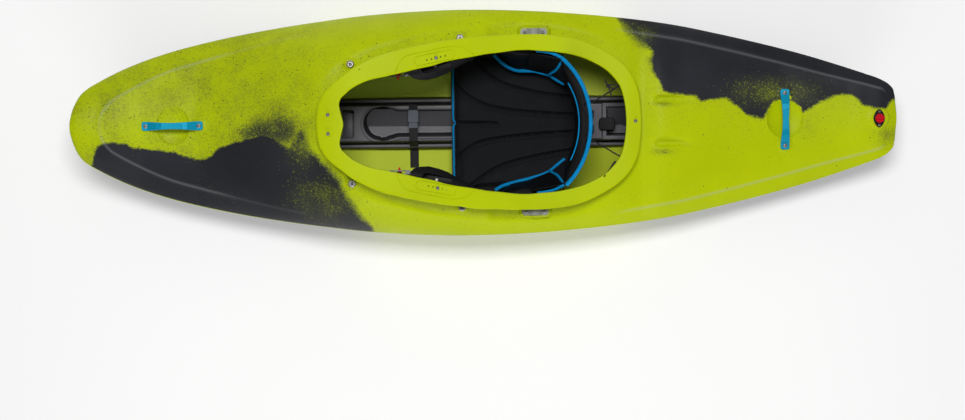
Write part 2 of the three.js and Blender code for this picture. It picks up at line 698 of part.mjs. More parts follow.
// Handle places: middle, direction along the handle, and the level of its two pads
const handles = {
  bow_handle: handlePlace(bow + BOW_HANDLE_FROM_BOW, 0),
  stern_handle: handlePlace(stern - STERN_HANDLE_FROM_STERN, 1),
};
function handlePlace(x, across) {
  const offsets = [-1, 1].map((end) => (end * HANDLE_SCREW_SPAN) / 2);
  const screws = offsets.map((offset) => (across ? [x, offset] : [x + offset, 0]));
  const half = HANDLE_END_WIDTH / 2;
  const heights = screws.flatMap(([sx, sy]) => [deckHeight(sx - half, sy), deckHeight(sx + half, sy)]);
  const level = Math.max(...heights) + HANDLE_PAD_RISE;
  return { x, across, screws, level, dish: deckHeight(x, 0) };
}

// A round pad moulded on the deck, flat on top at its level.
function deckPad(x, y, radius, level) {
  return solid(rod(radius, deckHeight(x, y) - HULL_WALL, level, ROUND_STEPS).translate(x, y, 0));
}

function boltHole(x, y, bottom, top) {
  return solid(rod(BOLT_SHANK_RADIUS + SEAT_GAP, bottom, top).translate(x, y, 0));
}

function dishCut(handle) {
  const rim = DISH_RADIUS;
  const profile = dishShares.map(([out, height]) => [out * rim, height * DISH_DEPTH]);
  const top = handle.level - handle.dish + CUT_OVERRUN;
  return solid(turned([...profile, [rim, top], [0, top]], 28).translate(handle.x, 0, handle.dish));
}

function dishBacking(handle) {
  const low = handle.dish - DISH_DEPTH - HULL_WALL;
  const radius = DISH_RADIUS + HULL_WALL;
  const edge = deckHeight(handle.x, radius) - HULL_WALL / 2;
  return solid(rod(radius, low, edge, 28).translate(handle.x, 0, 0));
}

const drainX = stern - DRAIN_FROM_STERN;
const drainLevel = deckHeight(drainX, 0) + DRAIN_PAD_RISE;

const barX = BAR_BEHIND;
const barLevel = deckHeight(barX - BAR_LENGTH / 2, BAR_OUT - BAR_WIDTH / 2) + BAR_PAD_RISE;
const barFoot = deckHeight(barX + BAR_LENGTH / 2, BAR_OUT + BAR_WIDTH / 2, HULL_WALL);
const barBolts = [-1, 1].map((end) => barX + (end * BAR_BOLT_SPAN) / 2);

const deckBolts = [
  ['front', -FRONT_BOLT_AHEAD, FRONT_BOLT_OUT],
  ['side', -SIDE_BOLT_AHEAD, SIDE_BOLT_OUT],
].map(([name, x, y]) => ({ name, x, y, level: deckHeight(x, y - BOLT_WASHER_RADIUS) + BOLT_PAD_RISE }));

const rimScrewX = rimFront + RIM_SCREW_FROM_FRONT;
const tailScrewX = rimRear - RIM_TAIL_SCREW_FROM_REAR;
const flatLevel = (x, reach) => Math.max(rimTop(x - reach), rimTop(x), rimTop(x + reach));

const braceBoltX = rimFront + BRACE_BOLT_FROM_RIM;
const adjusterHoles = Array.from({ length: ADJUSTER_COUNT }, (_, i) => {
  const step = (i - (ADJUSTER_COUNT - 1) / 2) * ADJUSTER_PITCH;
  return [braceBoltX + step, BRACE_BOLT_OUT + step * ADJUSTER_SLANT_SHARE];
});

function scoop(side, grow) {
  const start = SCOOP_BEHIND;
  const rings = scoopShares.map(([place, share]) => {
    const x = start + place * SCOOP_LENGTH;
    const half = SCOOP_WIDTH / 2 + grow;
    const level = Math.min(deckHeight(x, SCOOP_OUT - half), deckHeight(x, SCOOP_OUT + half));
    const top = grow > 0 ? level - HULL_WALL / 2 : crownHeight(x) + CUT_OVERRUN;
    const low = level - share * SCOOP_DEPTH - grow;
    const brim = level - (HULL_WALL / 2) * (grow > 0);
    const points = [
      [-half, top], [-half, brim], [-half / 2, low], [half / 2, low], [half, brim], [half, top],
    ];
    const used = grow > 0 ? points.filter((_, i) => i !== 1 && i !== 4) : points;
    return used.map(([y, z]) => vector(x, side * (SCOOP_OUT + y), z));
  });
  return solid(skin(rings));
}

function barPad(side) {
  const [length, width] = [BAR_LENGTH + HULL_WALL, BAR_WIDTH + HULL_WALL];
  const outline = roundedOutline(length, width, BAR_WIDTH / 4, barX, side * BAR_OUT);
  return solid(upright(outline, barFoot, barLevel));
}

function hullShell() {
  let hull = solid(skin(hullStations.map((share) => hullRing(share))));
  hull = hull.subtract(solid(skin(cavityStations.map((share) => hullRing(share, HULL_WALL)))));
  hull = hull.subtract(solid(cockpitHole()));
  hull = hull.add(rimBody(0));
  for (const handle of Object.values(handles)) {
    hull = hull.add(dishBacking(handle));
    handle.screws.forEach(([x, y]) => {
      hull = hull.add(deckPad(x, y, HANDLE_PAD_RADIUS, handle.level));
    });
    hull = hull.subtract(dishCut(handle));
    handle.screws.forEach(([x, y]) => {
      hull = hull.subtract(boltHole(x, y, handle.level - 2 * BOLT_SHANK_LENGTH, handle.level + CUT_OVERRUN));
    });
  }
  hull = hull.add(deckPad(drainX, 0, DRAIN_FLANGE_WIDTH / 2, drainLevel));
  const boreEnd = drainLevel - 2 * DRAIN_STEM_LENGTH;
  const drainBore = rod(DRAIN_BORE_RADIUS, boreEnd, drainLevel + CUT_OVERRUN, ROUND_STEPS);
  hull = hull.subtract(solid(drainBore.translate(drainX, 0, 0)));
  [-1, 1].forEach((end) => {
    const y = (end * DRAIN_SCREW_SPAN) / 2;
    hull = hull.subtract(boltHole(drainX, y, drainLevel - BOLT_SHANK_LENGTH, drainLevel + CUT_OVERRUN));
  });
  sides.forEach(([, side]) => {
    hull = hull.add(barPad(side));
    barBolts.forEach((x) => {
      hull = hull.subtract(boltHole(x, side * BAR_OUT, barFoot - CUT_OVERRUN, barLevel + CUT_OVERRUN));
    });
    deckBolts.forEach(({ x, y, level }) => {
      hull = hull.add(deckPad(x, side * y, BOLT_WASHER_RADIUS + 1.5 * BOLT_WASHER_THICK, level));
      hull = hull.subtract(boltHole(x, side * y, level - 2 * BOLT_SHANK_LENGTH, level + CUT_OVERRUN));
    });
    const reach = 2 * SMALL_SCREW_HEAD_RADIUS;
    const level = flatLevel(rimScrewX, reach);
    const pad = rod(reach, rimTop(rimScrewX) - FLANGE_THICK / 2, level, ROUND_STEPS);
    hull = hull.add(solid(pad.translate(rimScrewX, side * RIM_SCREW_OUT, 0)));
    const [low, high] = [level - BOLT_SHANK_LENGTH, level + CUT_OVERRUN];
    hull = hull.subtract(boltHole(rimScrewX, side * RIM_SCREW_OUT, low, high));
    adjusterHoles.forEach(([x, y], i) => {
      const middle = i === (ADJUSTER_COUNT - 1) / 2;
      const radius = middle ? BOLT_SHANK_RADIUS + SEAT_GAP : ADJUSTER_HOLE_RADIUS;
      const hole = rod(radius, rimTop(x) - FLANGE_THICK - CUT_OVERRUN, rimTop(x) + CUT_OVERRUN, 8);
      hull = hull.subtract(solid(hole.translate(x, side * y, 0)));
    });
    hull = hull.add(scoop(side, HULL_WALL)).subtract(scoop(side, 0));
  });
  const tailLevel = rimTop(tailScrewX);
  const tailHole = boltHole(tailScrewX, 0, tailLevel - FLANGE_THICK - CUT_OVERRUN, tailLevel + CUT_OVERRUN);
  hull = hull.subtract(tailHole);
  place('hull_shell', geometryOf(hull), materials.hull);
}

// A screw or bolt standing on a level: a domed head with a socket, a washer if asked, and its shank.
function bolt(name, x, y, level, headRadius, washer, shank, material = materials.steel) {
  const seat = level + SEAT_GAP;
  const low = washer ? seat + BOLT_WASHER_THICK : seat;
  const top = low + BOLT_HEAD_HEIGHT;
  const base = washer ? [[BOLT_WASHER_RADIUS, seat], [BOLT_WASHER_RADIUS, low]] : [[headRadius, seat]];
  const profile = [
    [0, level - shank],
    [BOLT_SHANK_RADIUS, level - shank],
    [BOLT_SHANK_RADIUS, seat],
    ...base,
    [headRadius, low + BOLT_HEAD_HEIGHT / 4],
    [headRadius * 0.7, top],
    [BOLT_SOCKET_RADIUS, top],
    [BOLT_SOCKET_RADIUS, top - BOLT_SOCKET_DEPTH],
    [0, top - BOLT_SOCKET_DEPTH],
  ];
  place(name, turned(profile, SMALL_ROUND_STEPS).translate(x, y, 0), material);
}

// A waisted bar that arches between two flat feet, cut from its side view and its plan.
function archedBar(length, endWidth, waistWidth, thick, arch, holeSpan, corner) {
  const foot = (length - holeSpan) / 2 + BOLT_HEAD_RADIUS;
  const half = length / 2;
  const rise = [[half - foot, 0], [half - foot - 1.6 * arch, 0.8], [half - foot - 2.6 * arch, 1]];
  const upperHalf = [[half, 0], ...rise];
  const top = [...upperHalf, ...upperHalf.map(([s, h]) => [-s, h]).reverse()];
  const outline = [
    ...top.map(([s, h]) => [s, h * arch + thick]),
    ...top.map(([s, h]) => [s, h * arch]).reverse(),
  ];
  const side = solid(crosswise(outline, 0, endWidth));
  const quarter = [
    [half, endWidth / 2 - corner],
    [half - corner / 3, endWidth / 2 - corner / 3],
    [half - corner, endWidth / 2],
    [half - foot, endWidth / 2],
    [half / 3, (endWidth + 3 * waistWidth) / 8],
    [0, waistWidth / 2],
  ];
  const plan = [
    ...quarter,
    ...quarter.slice(0, -1).map(([s, w]) => [-s, w]).reverse(),
    ...quarter.map(([s, w]) => [-s, -w]),
    ...quarter.slice(0, -1).map(([s, w]) => [s, -w]).reverse(),
  ];
  let bar = side.intersect(solid(upright(plan, -thick, arch + 2 * thick)));
  [-1, 1].forEach((end) => {
    bar = bar.subtract(boltHole((end * holeSpan) / 2, 0, -thick, 2 * thick));
  });
  return geometryOf(bar);
}

function grabHandle(name) {
  const { x, across, screws, level } = handles[name];
  const bar = archedBar(
    HANDLE_LENGTH, HANDLE_END_WIDTH, HANDLE_WAIST_WIDTH, HANDLE_THICK, HANDLE_ARCH,
    HANDLE_SCREW_SPAN, HANDLE_CORNER,
  );
  if (across) bar.rotateZ(Math.PI / 2);
  place(name, bar.translate(x, 0, level + SEAT_GAP), materials.teal);
  const ends = across ? ['port', 'starboard'] : ['front', 'rear'];
  screws.forEach(([sx, sy], i) => {
    const top = level + SEAT_GAP + HANDLE_THICK;
    bolt(`${name}_screw_${ends[i]}`, sx, sy, top, BOLT_HEAD_RADIUS, false, BOLT_SHANK_LENGTH);
  });
}

function securityBar(name, side) {
  const bar = archedBar(BAR_LENGTH, BAR_WIDTH, BAR_WIDTH, BAR_THICK, BAR_ARCH, BAR_BOLT_SPAN, BAR_WIDTH / 3);
  const y = side * BAR_OUT;
  place(`security_bar_${name}`, bar.translate(barX, y, barLevel + SEAT_GAP), materials.steel);
  const top = barLevel + SEAT_GAP + BAR_THICK;
  const shank = top - hangerLevel + HANGER_THICK + CUT_OVERRUN;
  ['front', 'rear'].forEach((end, i) => {
    bolt(`security_bolt_${name}_${end}`, barBolts[i], y, top, SMALL_SCREW_HEAD_RADIUS, false, shank);
  });
}

function drain() {
  const half = [DRAIN_FLANGE_LENGTH / 2, DRAIN_FLANGE_WIDTH / 2];
  const outline = [];
  for (let i = 0; i < ROUND_STEPS; i += 1) {
    const angle = (i / ROUND_STEPS) * 2 * Math.PI;
    const power = 1.25;
    const point = [Math.cos(angle), Math.sin(angle)].map((v) => Math.sign(v) * Math.abs(v) ** power);
    outline.push([drainX + half[0] * point[0], half[1] * point[1]]);
  }
  const low = drainLevel + SEAT_GAP;
  const top = low + DRAIN_FLANGE_THICK;
  const stemRadius = DRAIN_BORE_RADIUS - DRAIN_STEM_CLEARANCE;
  let flange = solid(upright(outline, low, top));
  flange = flange.add(solid(rod(DRAIN_KNOB_RADIUS, low, top, ROUND_STEPS).translate(drainX, 0, 0)));
  const bore = rod(DRAIN_BORE_RADIUS, low - CUT_OVERRUN, top + CUT_OVERRUN, ROUND_STEPS);
  flange = flange.subtract(solid(bore.translate(drainX, 0, 0)));
  [-1, 1].forEach((end) => {
    const y = (end * DRAIN_SCREW_SPAN) / 2;
    flange = flange.subtract(boltHole(drainX, y, low - CUT_OVERRUN, top + CUT_OVERRUN));
    const name = end < 0 ? 'port' : 'starboard';
    bolt(`drain_screw_${name}`, drainX, y, top, DRAIN_SCREW_HEAD_RADIUS, false, DRAIN_SCREW_LENGTH);
  });
  place('drain_flange', geometryOf(flange), materials.blackPlastic);
  const sealLow = top + SEAT_GAP;
  const sealTop = sealLow + DRAIN_SEAL_THICK;
  const sealIn = stemRadius + SEAT_GAP;
  const sealOut = sealIn + DRAIN_SEAL_THICK;
  const corners = [[sealIn, sealLow], [sealOut, sealLow], [sealOut, sealTop], [sealIn, sealTop]];
  const ring = [...corners, corners[0]];
  place('drain_seal', turned(ring).translate(drainX, 0, 0), materials.rubber);
  const knobLow = sealTop + SEAT_GAP;
  const knobTop = knobLow + DRAIN_KNOB_HEIGHT;
  const plug = [
    [0, top - DRAIN_STEM_LENGTH],
    [stemRadius, top - DRAIN_STEM_LENGTH],
    [stemRadius, knobLow],
    [DRAIN_KNOB_RADIUS * 0.92, knobLow],
    [DRAIN_KNOB_RADIUS, knobLow + DRAIN_KNOB_HEIGHT / 4],
    [DRAIN_KNOB_RADIUS * 0.94, knobTop],
    [0, knobTop],
  ];
  const wing = box(
    -DRAIN_KNOB_RADIUS * 0.85, DRAIN_KNOB_RADIUS * 0.85, -DRAIN_WING_THICK / 2, DRAIN_WING_THICK / 2,
    knobTop - CUT_OVERRUN, knobTop + DRAIN_WING_HEIGHT,
  );
  const body = solid(turned(plug)).add(solid(wing));
  place('drain_plug', geometryOf(body).translate(drainX, 0, 0), materials.redPlastic);
}

// The centre rail stands on the hull's floor and carries the seat and the bottle.
const railFront = -RAIL_FRONT_AHEAD;
const railRear = railFront + RAIL_LENGTH;
function railLoft(inset, overrun) {
  const foot = RAIL_FOOT_WIDTH / 2 - inset;
  const top = RAIL_TOP_WIDTH / 2 - inset;
  const high = RAIL_HEIGHT - inset;
  const rings = floorPlaces(railFront + inset, railRear - inset).map((x) => {
    const floor = floorHeight(x) + SEAT_GAP;
    const low = floor - overrun;
    const shoulder = floor + RAIL_WALL - inset / 2;
    const section = [
      [-foot, low], [foot, low], [foot, shoulder], [top, high], [-top, high], [-foot, shoulder],
    ];
    return section.map(([y, z]) => vector(x, y, z));
  });
  return solid(skin(rings));
}

function keyholeOutline(grow) {
  const x = railFront + KEYHOLE_FROM_FRONT;
  const radius = KEYHOLE_RADIUS + grow;
  const half = CHANNEL_WIDTH / 2 + grow;
  const start = Math.asin(half / radius);
  const points = [];
  for (let i = 0; i <= ROUND_STEPS; i += 1) {
    const angle = start + (i / ROUND_STEPS) * 2 * (Math.PI - start);
    points.push([x + radius * Math.cos(angle), radius * Math.sin(angle)]);
  }
  return [...points, [x + KEYHOLE_LENGTH + grow, -half], [x + KEYHOLE_LENGTH + grow, half]];
}

function seatRail() {
  let rail = railLoft(0, 0).subtract(railLoft(RAIL_WALL, 2 * CUT_OVERRUN));
  const floor = RAIL_HEIGHT - RECESS_DEPTH;
  const tailX = railFront + TAIL_RECESS_FROM_FRONT + TAIL_RECESS_LENGTH / 2;
  const tub = (outline) => solid(upright(outline, floor - RAIL_WALL, RAIL_HEIGHT));
  const recess = (outline) => solid(upright(outline, floor, RAIL_HEIGHT + CUT_OVERRUN));
  const corner = RAIL_WALL * 2;
  rail = rail.add(tub(keyholeOutline(RAIL_WALL / 2)));
  const tail = (grow) => roundedOutline(TAIL_RECESS_LENGTH + grow, TAIL_RECESS_WIDTH + grow, corner, tailX);
  rail = rail.add(tub(tail(RAIL_WALL)));
  rail = rail.subtract(recess(keyholeOutline(-RAIL_WALL / 2)));
  rail = rail.subtract(recess(tail(-RAIL_WALL)));
  const windowX = railFront + WINDOW_FROM_FRONT + WINDOW_LENGTH / 2;
  const opening = roundedOutline(WINDOW_LENGTH, WINDOW_WIDTH, corner, windowX);
  rail = rail.subtract(solid(upright(opening, 0, RAIL_HEIGHT + CUT_OVERRUN)));
  place('seat_rail', geometryOf(rail), materials.blackPlastic);
}

// Upright foam walls on the centre line that hold the deck off the floor.
function pillar(name, start, end, handle) {
  const half = PILLAR_THICK / 2;
  const room = solid(skin(cavityStations.map((share) => hullRing(share, HULL_WALL + SEAT_GAP))));
  let wall = room.intersect(solid(box(start, end, -half, half, 0, DECK_HEIGHT)));
  const reach = handle.across ? DISH_RADIUS + HULL_WALL : HANDLE_SCREW_SPAN / 2 + HANDLE_PAD_RADIUS;
  const dishLow = handle.dish - DISH_DEPTH - HULL_WALL;
  const below = Math.min(dishLow, handle.level - BOLT_SHANK_LENGTH) - CUT_OVERRUN;
  const [front, rear] = [handle.x - reach - SEAT_GAP, handle.x + reach + SEAT_GAP];
  const notch = box(front, rear, -PILLAR_THICK, PILLAR_THICK, below, DECK_HEIGHT);
  wall = wall.subtract(solid(notch));
  place(name, geometryOf(wall), materials.foam);
}

// The seat pan: a shallow bucket on the rail, with two hangers that reach the deck beside the rim.
const seatFront = -SEAT_FRONT_AHEAD;
const seatRear = seatFront + SEAT_LENGTH;
const seatLevel = RAIL_HEIGHT + SEAT_GAP;
const hangerFront = seatFront + HANGER_FROM_SEAT;
const hangerRear = hangerFront + HANGER_LENGTH;
const hangerFlangeOut = HANGER_OUT + HANGER_THICK + HANGER_FLANGE_REACH;
const hangerLevel = deckHeight(barX + BAR_LENGTH / 2, hangerFlangeOut, HULL_WALL) - SEAT_GAP;

const panPlaces = [0, 0.3, 0.6, 0.8, 1]
  .map((share) => SEAT_FLOOR_HALF_WIDTH + share * (SEAT_HALF_WIDTH - SEAT_FLOOR_HALF_WIDTH));

// Height of the pan's underside, straight between its places.
function panHeight(y) {
  const rise = (out) => SEAT_SIDE_RISE * ((out - panPlaces[0]) / (SEAT_HALF_WIDTH - panPlaces[0])) ** 2;
  const out = Math.abs(y);
  if (out <= panPlaces[0]) return seatLevel;
  const i = panPlaces.findIndex((place) => place >= out);
  const t = (out - panPlaces[i - 1]) / (panPlaces[i] - panPlaces[i - 1]);
  return seatLevel + rise(panPlaces[i - 1]) * (1 - t) + rise(panPlaces[i]) * t;
}

// The rear corners of the seat are rounded to an oval round the backband's centre.
function seatOval() {
  const oval = circleOutline(1, 0, 0, 3 * ROUND_STEPS)
    .map(([x, y]) => [bandCentreX + x * SEAT_OVAL_REACH, y * SEAT_OVAL_HALF_WIDTH]);
  return solid(upright(oval, 0, DECK_HEIGHT));
}

function seatPan() {
  const half = panPlaces.map((y) => [y, panHeight(y)]);
  const under = [...half.slice().reverse().map(([y, z]) => [-y, z]), ...half];
  const over = under.map(([y, z]) => [y, z + SEAT_THICK]).reverse();
  let pan = solid(lengthwise([...under, ...over], seatFront, seatRear)).intersect(seatOval());
  sides.forEach(([, side]) => {
    const low = panHeight(SEAT_HALF_WIDTH);
    const wall = [
      [SEAT_HALF_WIDTH - SEAT_THICK, low],
      [HANGER_OUT + HANGER_THICK, low + SEAT_THICK],
      [HANGER_OUT + HANGER_THICK, hangerLevel],
      [HANGER_OUT, hangerLevel],
      [HANGER_OUT, low + 2 * SEAT_THICK],
      [SEAT_HALF_WIDTH - SEAT_THICK, low + SEAT_THICK],
    ];
    pan = pan.add(solid(lengthwise(mirrored(wall.map(([y, z]) => [z, y]), side).map(([z, y]) => [y, z]),
      hangerFront, hangerRear)));
    const flangeY = side * (HANGER_OUT + (HANGER_THICK + HANGER_FLANGE_REACH) / 2);
    const flange = roundedOutline(BAR_LENGTH, HANGER_THICK + HANGER_FLANGE_REACH, SEAT_THICK, barX, flangeY);
    pan = pan.add(solid(upright(flange, hangerLevel - HANGER_THICK, hangerLevel)));
    barBolts.forEach((x) => {
      const bottom = hangerLevel - HANGER_THICK - CUT_OVERRUN;
      pan = pan.subtract(boltHole(x, side * BAR_OUT, bottom, hangerLevel + CUT_OVERRUN));
    });
  });
  pan = pan.add(seatHingeBracket());
  place('seat_pan', geometryOf(pan), materials.blackPlastic);
}

// The backband turns on a pin behind the seat cushion.
const bandCentreX = seatFront + BAND_REAR_FROM_SEAT - BAND_RADIUS;
const bandLow = seatLevel + SEAT_THICK + CUSHION_THICK + BAND_CLEARANCE;
const hingeX = bandCentreX + BAND_RADIUS + HINGE_BEHIND_BAND;
const hingeZ = bandLow + HINGE_KNUCKLE_RADIUS;
const knuckleReach = HINGE_SHELL_KNUCKLE + HINGE_SEAT_KNUCKLE;

function seatHingeBracket() {
  const inner = HINGE_SHELL_KNUCKLE / 2 + SEAT_GAP;
  const outer = inner + HINGE_SEAT_KNUCKLE;
  const post = [
    [seatRear - SEAT_THICK, seatLevel],
    [hingeX + HINGE_KNUCKLE_RADIUS + 2 * SEAT_THICK, seatLevel],
    [hingeX + HINGE_KNUCKLE_RADIUS * 0.9, hingeZ],
    [hingeX - HINGE_KNUCKLE_RADIUS * 0.9, hingeZ],
    [seatRear - SEAT_THICK, seatLevel + 2 * SEAT_THICK],
  ];
  let bracket;
  [-1, 1].forEach((side) => {
    const middle = (side * (inner + outer)) / 2;
    let ear = solid(crosswise(post, middle, HINGE_SEAT_KNUCKLE));
    const ends = [side * inner, side * outer].sort((a, b) => a - b);
    ear = ear.add(solid(crossRod(HINGE_KNUCKLE_RADIUS, hingeX, hingeZ, ends[0], ends[1])));
    bracket = bracket ? bracket.add(ear) : ear;
  });
  const bore = crossRod(HINGE_PIN_RADIUS + SEAT_GAP, hingeX, hingeZ, -knuckleReach, knuckleReach);
  return bracket.subtract(solid(bore));
}

// The seat cushion: crowned, drawn in at its edges, with two sewn channels on each side.
function seatCushion() {
  const front = seatFront + CUSHION_INSET;
  const rear = seatRear - 4 * CUSHION_INSET;
  const half = SEAT_HALF_WIDTH - CUSHION_INSET;
  const steps = 20;
  const rings = [];
  for (let i = 0; i <= steps; i += 1) {
    const u = i / steps;
    const x = front + u * (rear - front);
    const edge = 1 - Math.abs(2 * u - 1) ** 6;
    const drawn = half - CUSHION_INSET * Math.sin(u * Math.PI);
    const inner = innerChannelShare(u) * half;
    const outer = Math.min(outerChannelShare(u) * half, drawn - 2 * CHANNEL_HALF_WIDTH);
    const w = CHANNEL_HALF_WIDTH;
    const ys = [0, inner / 2, inner - w, inner, inner + w, (inner + outer) / 2, outer - w, outer, outer + w,
      drawn - w / 3, drawn];
    const top = ys.map((y, j) => {
      const side = 1 - (y / drawn) ** 8;
      const crown = CUSHION_EDGE_THICK + (CUSHION_THICK - CUSHION_EDGE_THICK) * edge * side;
      const sewn = j === 3 || j === 7 ? CHANNEL_DEPTH * edge : 0;
      return [y, panHeight(y) + SEAT_THICK + SEAT_GAP + crown - sewn];
    });
    const base = [0, ...panPlaces.slice(0, -1), drawn].map((y) => [y, panHeight(y) + SEAT_THICK + SEAT_GAP]);
    const right = [...base, ...top.slice().reverse()];
    const left = right.slice(1, -1).map(([y, z]) => [-y, z]).reverse();
    rings.push([...right, ...left].map(([y, z]) => vector(x, y, z)));
  }
  place('seat_cushion', geometryOf(solid(skin(rings)).intersect(seatOval())), materials.neoprene);
}

// A hip pad fills the corner between the cushion and its hanger, thickest low down at the back.
function hipPad(name, side) {
  const start = seatFront + HIP_FROM_SEAT;
  const outer = HANGER_OUT - SEAT_GAP;
  const low = panHeight(SEAT_HALF_WIDTH) + SEAT_THICK + CUSHION_EDGE_THICK + HIP_CLEARANCE;
  const steps = 10;
  const rings = [];
  for (let i = 0; i <= steps; i += 1) {
    const u = i / steps;
    const x = start + u * HIP_LENGTH;
    const swell = 1 - Math.abs(2 * u - 1) ** 5;
    const growth = Math.sin((u * Math.PI) / 2) ** 0.8;
    const bottom = HIP_FRONT_THICK + (HIP_BOTTOM_THICK - HIP_FRONT_THICK) * growth;
    const height = HIP_HEIGHT * (0.55 + 0.45 * swell);
    const top = HIP_TOP_THICK * (0.7 + 0.3 * swell);
    const section = [
      [0, 0.04], [0, 0.96], [top * 0.3, 1], [top * 0.85, 0.985], [top, 0.9], [(top * 3 + bottom) / 4, 0.6],
      [(top + bottom) / 2, 0.36], [bottom * 0.97, 0.14], [bottom, 0.06], [bottom * 0.9, 0],
      [bottom * 0.1, 0],
    ];
    rings.push(section.map(([inward, up]) => vector(x, side * (outer - inward), low + up * height)));
  }
  place(`hip_pad_${name}`, skin(rings), materials.neoprene);
}

// The backband's outline by angle round its own centre: how low and how high it reaches.
const bandTurn = Math.asin(BAND_HALF_WIDTH / BAND_RADIUS);
function bandSpan(u) {
  const height = BAND_HEIGHT - (BAND_HEIGHT - BAND_END_HEIGHT) * Math.abs(u) ** 3;
  const middle = bandLow + BAND_HEIGHT / 2 - 8 * SEAT_GAP * Math.abs(u);
  return [middle - height / 2, middle + height / 2];
}
const bandPoint = (u, radius, z) => {
  const angle = u * bandTurn;
  return vector(bandCentreX + radius * Math.cos(angle), radius * Math.sin(angle), z);
};

function backbandShell() {
  const rings = [];
  const steps = 18;
  for (let i = 0; i <= steps; i += 1) {
    const u = (2 * i) / steps - 1;
    const [low, high] = bandSpan(u);
    const inner = BAND_RADIUS - BAND_SHELL_THICK;
    rings.push([
      bandPoint(u, inner, low), bandPoint(u, BAND_RADIUS, low),
      bandPoint(u, BAND_RADIUS, high), bandPoint(u, inner, high),
    ]);
  }
  let shell = solid(skin(rings));
  const half = HINGE_SHELL_KNUCKLE / 2;
  const root = bandCentreX + BAND_RADIUS - BAND_SHELL_THICK / 2;
  const [tabLow, tabHigh] = [hingeZ - HINGE_KNUCKLE_RADIUS / 2, hingeZ + HINGE_KNUCKLE_RADIUS];
  const tab = box(root, hingeX, -half, half, tabLow, tabHigh);
  shell = shell.add(solid(tab));
  shell = shell.add(solid(crossRod(HINGE_KNUCKLE_RADIUS, hingeX, hingeZ, -half, half)));
  const bore = crossRod(HINGE_PIN_RADIUS + SEAT_GAP, hingeX, hingeZ, -knuckleReach, knuckleReach);
  shell = shell.subtract(solid(bore));
  place('backband_shell', geometryOf(shell), materials.blackPlastic);
  const reach = HINGE_SHELL_KNUCKLE / 2 + HINGE_SEAT_KNUCKLE + SEAT_GAP;
  place('backband_pin', crossRod(HINGE_PIN_RADIUS, hingeX, hingeZ, -reach, reach), materials.steel);
}

function backbandPad() {
  const rings = [];
  const steps = 20;
  const face = BAND_RADIUS - BAND_SHELL_THICK - SEAT_GAP;
  for (let i = 0; i <= steps; i += 1) {
    const u = (2 * i) / steps - 1;
    const [low, high] = bandSpan(u);
    const swell = 1 - Math.abs(u) ** 6;
    const edge = BAND_PAD_EDGE_THICK * (0.6 + 0.4 * swell);
    const thick = edge + (BAND_PAD_THICK - edge) * swell;
    const over = BAND_PAD_OVERHANG * swell;
    const section = [
      [0, 0], [0, 1], [edge * 0.5, 1.0], [edge, 0.98], [thick * 0.9, 0.86], [thick, 0.66], [thick, 0.34],
      [thick * 0.9, 0.14], [edge, 0.02], [edge * 0.5, 0],
    ];
    const height = high - low + 2 * over;
    rings.push(section.map(([forward, up]) => bandPoint(u, face - forward, low - over + up * height)));
  }
  place('backband_pad', skin(rings), materials.neoprene);
}

// Elastic cords hold the backband up from the rear of the rim.
function backbandCord(name, side) {
  const z = bandLow + BAND_CORD_HEIGHT;
  const startX = bandCentreX + Math.sqrt(BAND_RADIUS ** 2 - BAND_CORD_OUT ** 2) + 2 * SEAT_GAP;
  const rimX = endOfReach(BAND_CORD_RIM_OUT) + 2 * LIP_THICK;
  const rimZ = rimTop(rimX) - FLANGE_THICK - 3 * SEAT_GAP;
  const start = vector(startX, side * BAND_CORD_OUT, z);
  const end = vector(rimX, side * BAND_CORD_RIM_OUT, rimZ);
  const step = 4 * BAND_CORD_RADIUS;
  const leaving = bandNormal(BAND_CORD_OUT * side).multiplyScalar(step);
  const first = start.clone().add(leaving);
  const last = end.clone().sub(vector(0, 0, step));
  const turn = last.clone().sub(vector(step, 0, step));
  const middle = first.clone().lerp(turn, 0.5);
  middle.z = Math.min(middle.z, turn.z);
  const points = [start, first, middle, turn, last, end];
  place(`backband_cord_${name}`, cordAlong(points, BAND_CORD_RADIUS), materials.webbing);
}

// The direction straight out of the back of the backband at a place across it.
function bandNormal(y) {
  return vector(Math.sqrt(BAND_RADIUS ** 2 - y ** 2), y, 0).normalize();
}

// The place along the boat where the opening's rear edge lies this far out.
function endOfReach(out) {
  const rear = openingFront + OPENING_LENGTH;
  let x = rear;
  while (openingReach(x) < out) x -= OPENING_LENGTH / OUTLINE_SAMPLES;
  return x;
}

function strapAnchor() {
  const x = railFront + ANCHOR_FROM_FRONT;
  const outline = roundedOutline(ANCHOR_LENGTH, ANCHOR_WIDTH, ANCHOR_WIDTH / 6, x, -ANCHOR_WIDTH / 5);
  place('backband_anchor', upright(outline, seatLevel, seatLevel + ANCHOR_HEIGHT), materials.webbing);
}

// Thigh braces hang under the flange and hook inwards and down over each thigh.
const braceFront = rimFront + BRACE_FROM_RIM;
const braceSteps = 10;
function braceSection(u) {
  const x = braceFront + u * BRACE_LENGTH;
  const outer = rimReach(x) - LIP_REACH - HULL_WALL - BRACE_OUTER_MARGIN;
  const edge = openingReach(x);
  const inner = Math.min(edge * braceEdgeShare(u), edge - BRACE_THICK);
  const hook = (edge - inner) / edge;
  const top = rimTop(x) - FLANGE_THICK;
  const lip = rimTop(x) - INNER_LIP_DEPTH;
  const shoulder = edge + 2 * LIP_THICK;
  const drop = BRACE_HOOK_DROP * (0.25 + 2 * hook);
  return { x, outer, shoulder: Math.min(shoulder, outer - LIP_THICK), edge, inner, top, lip, drop };
}

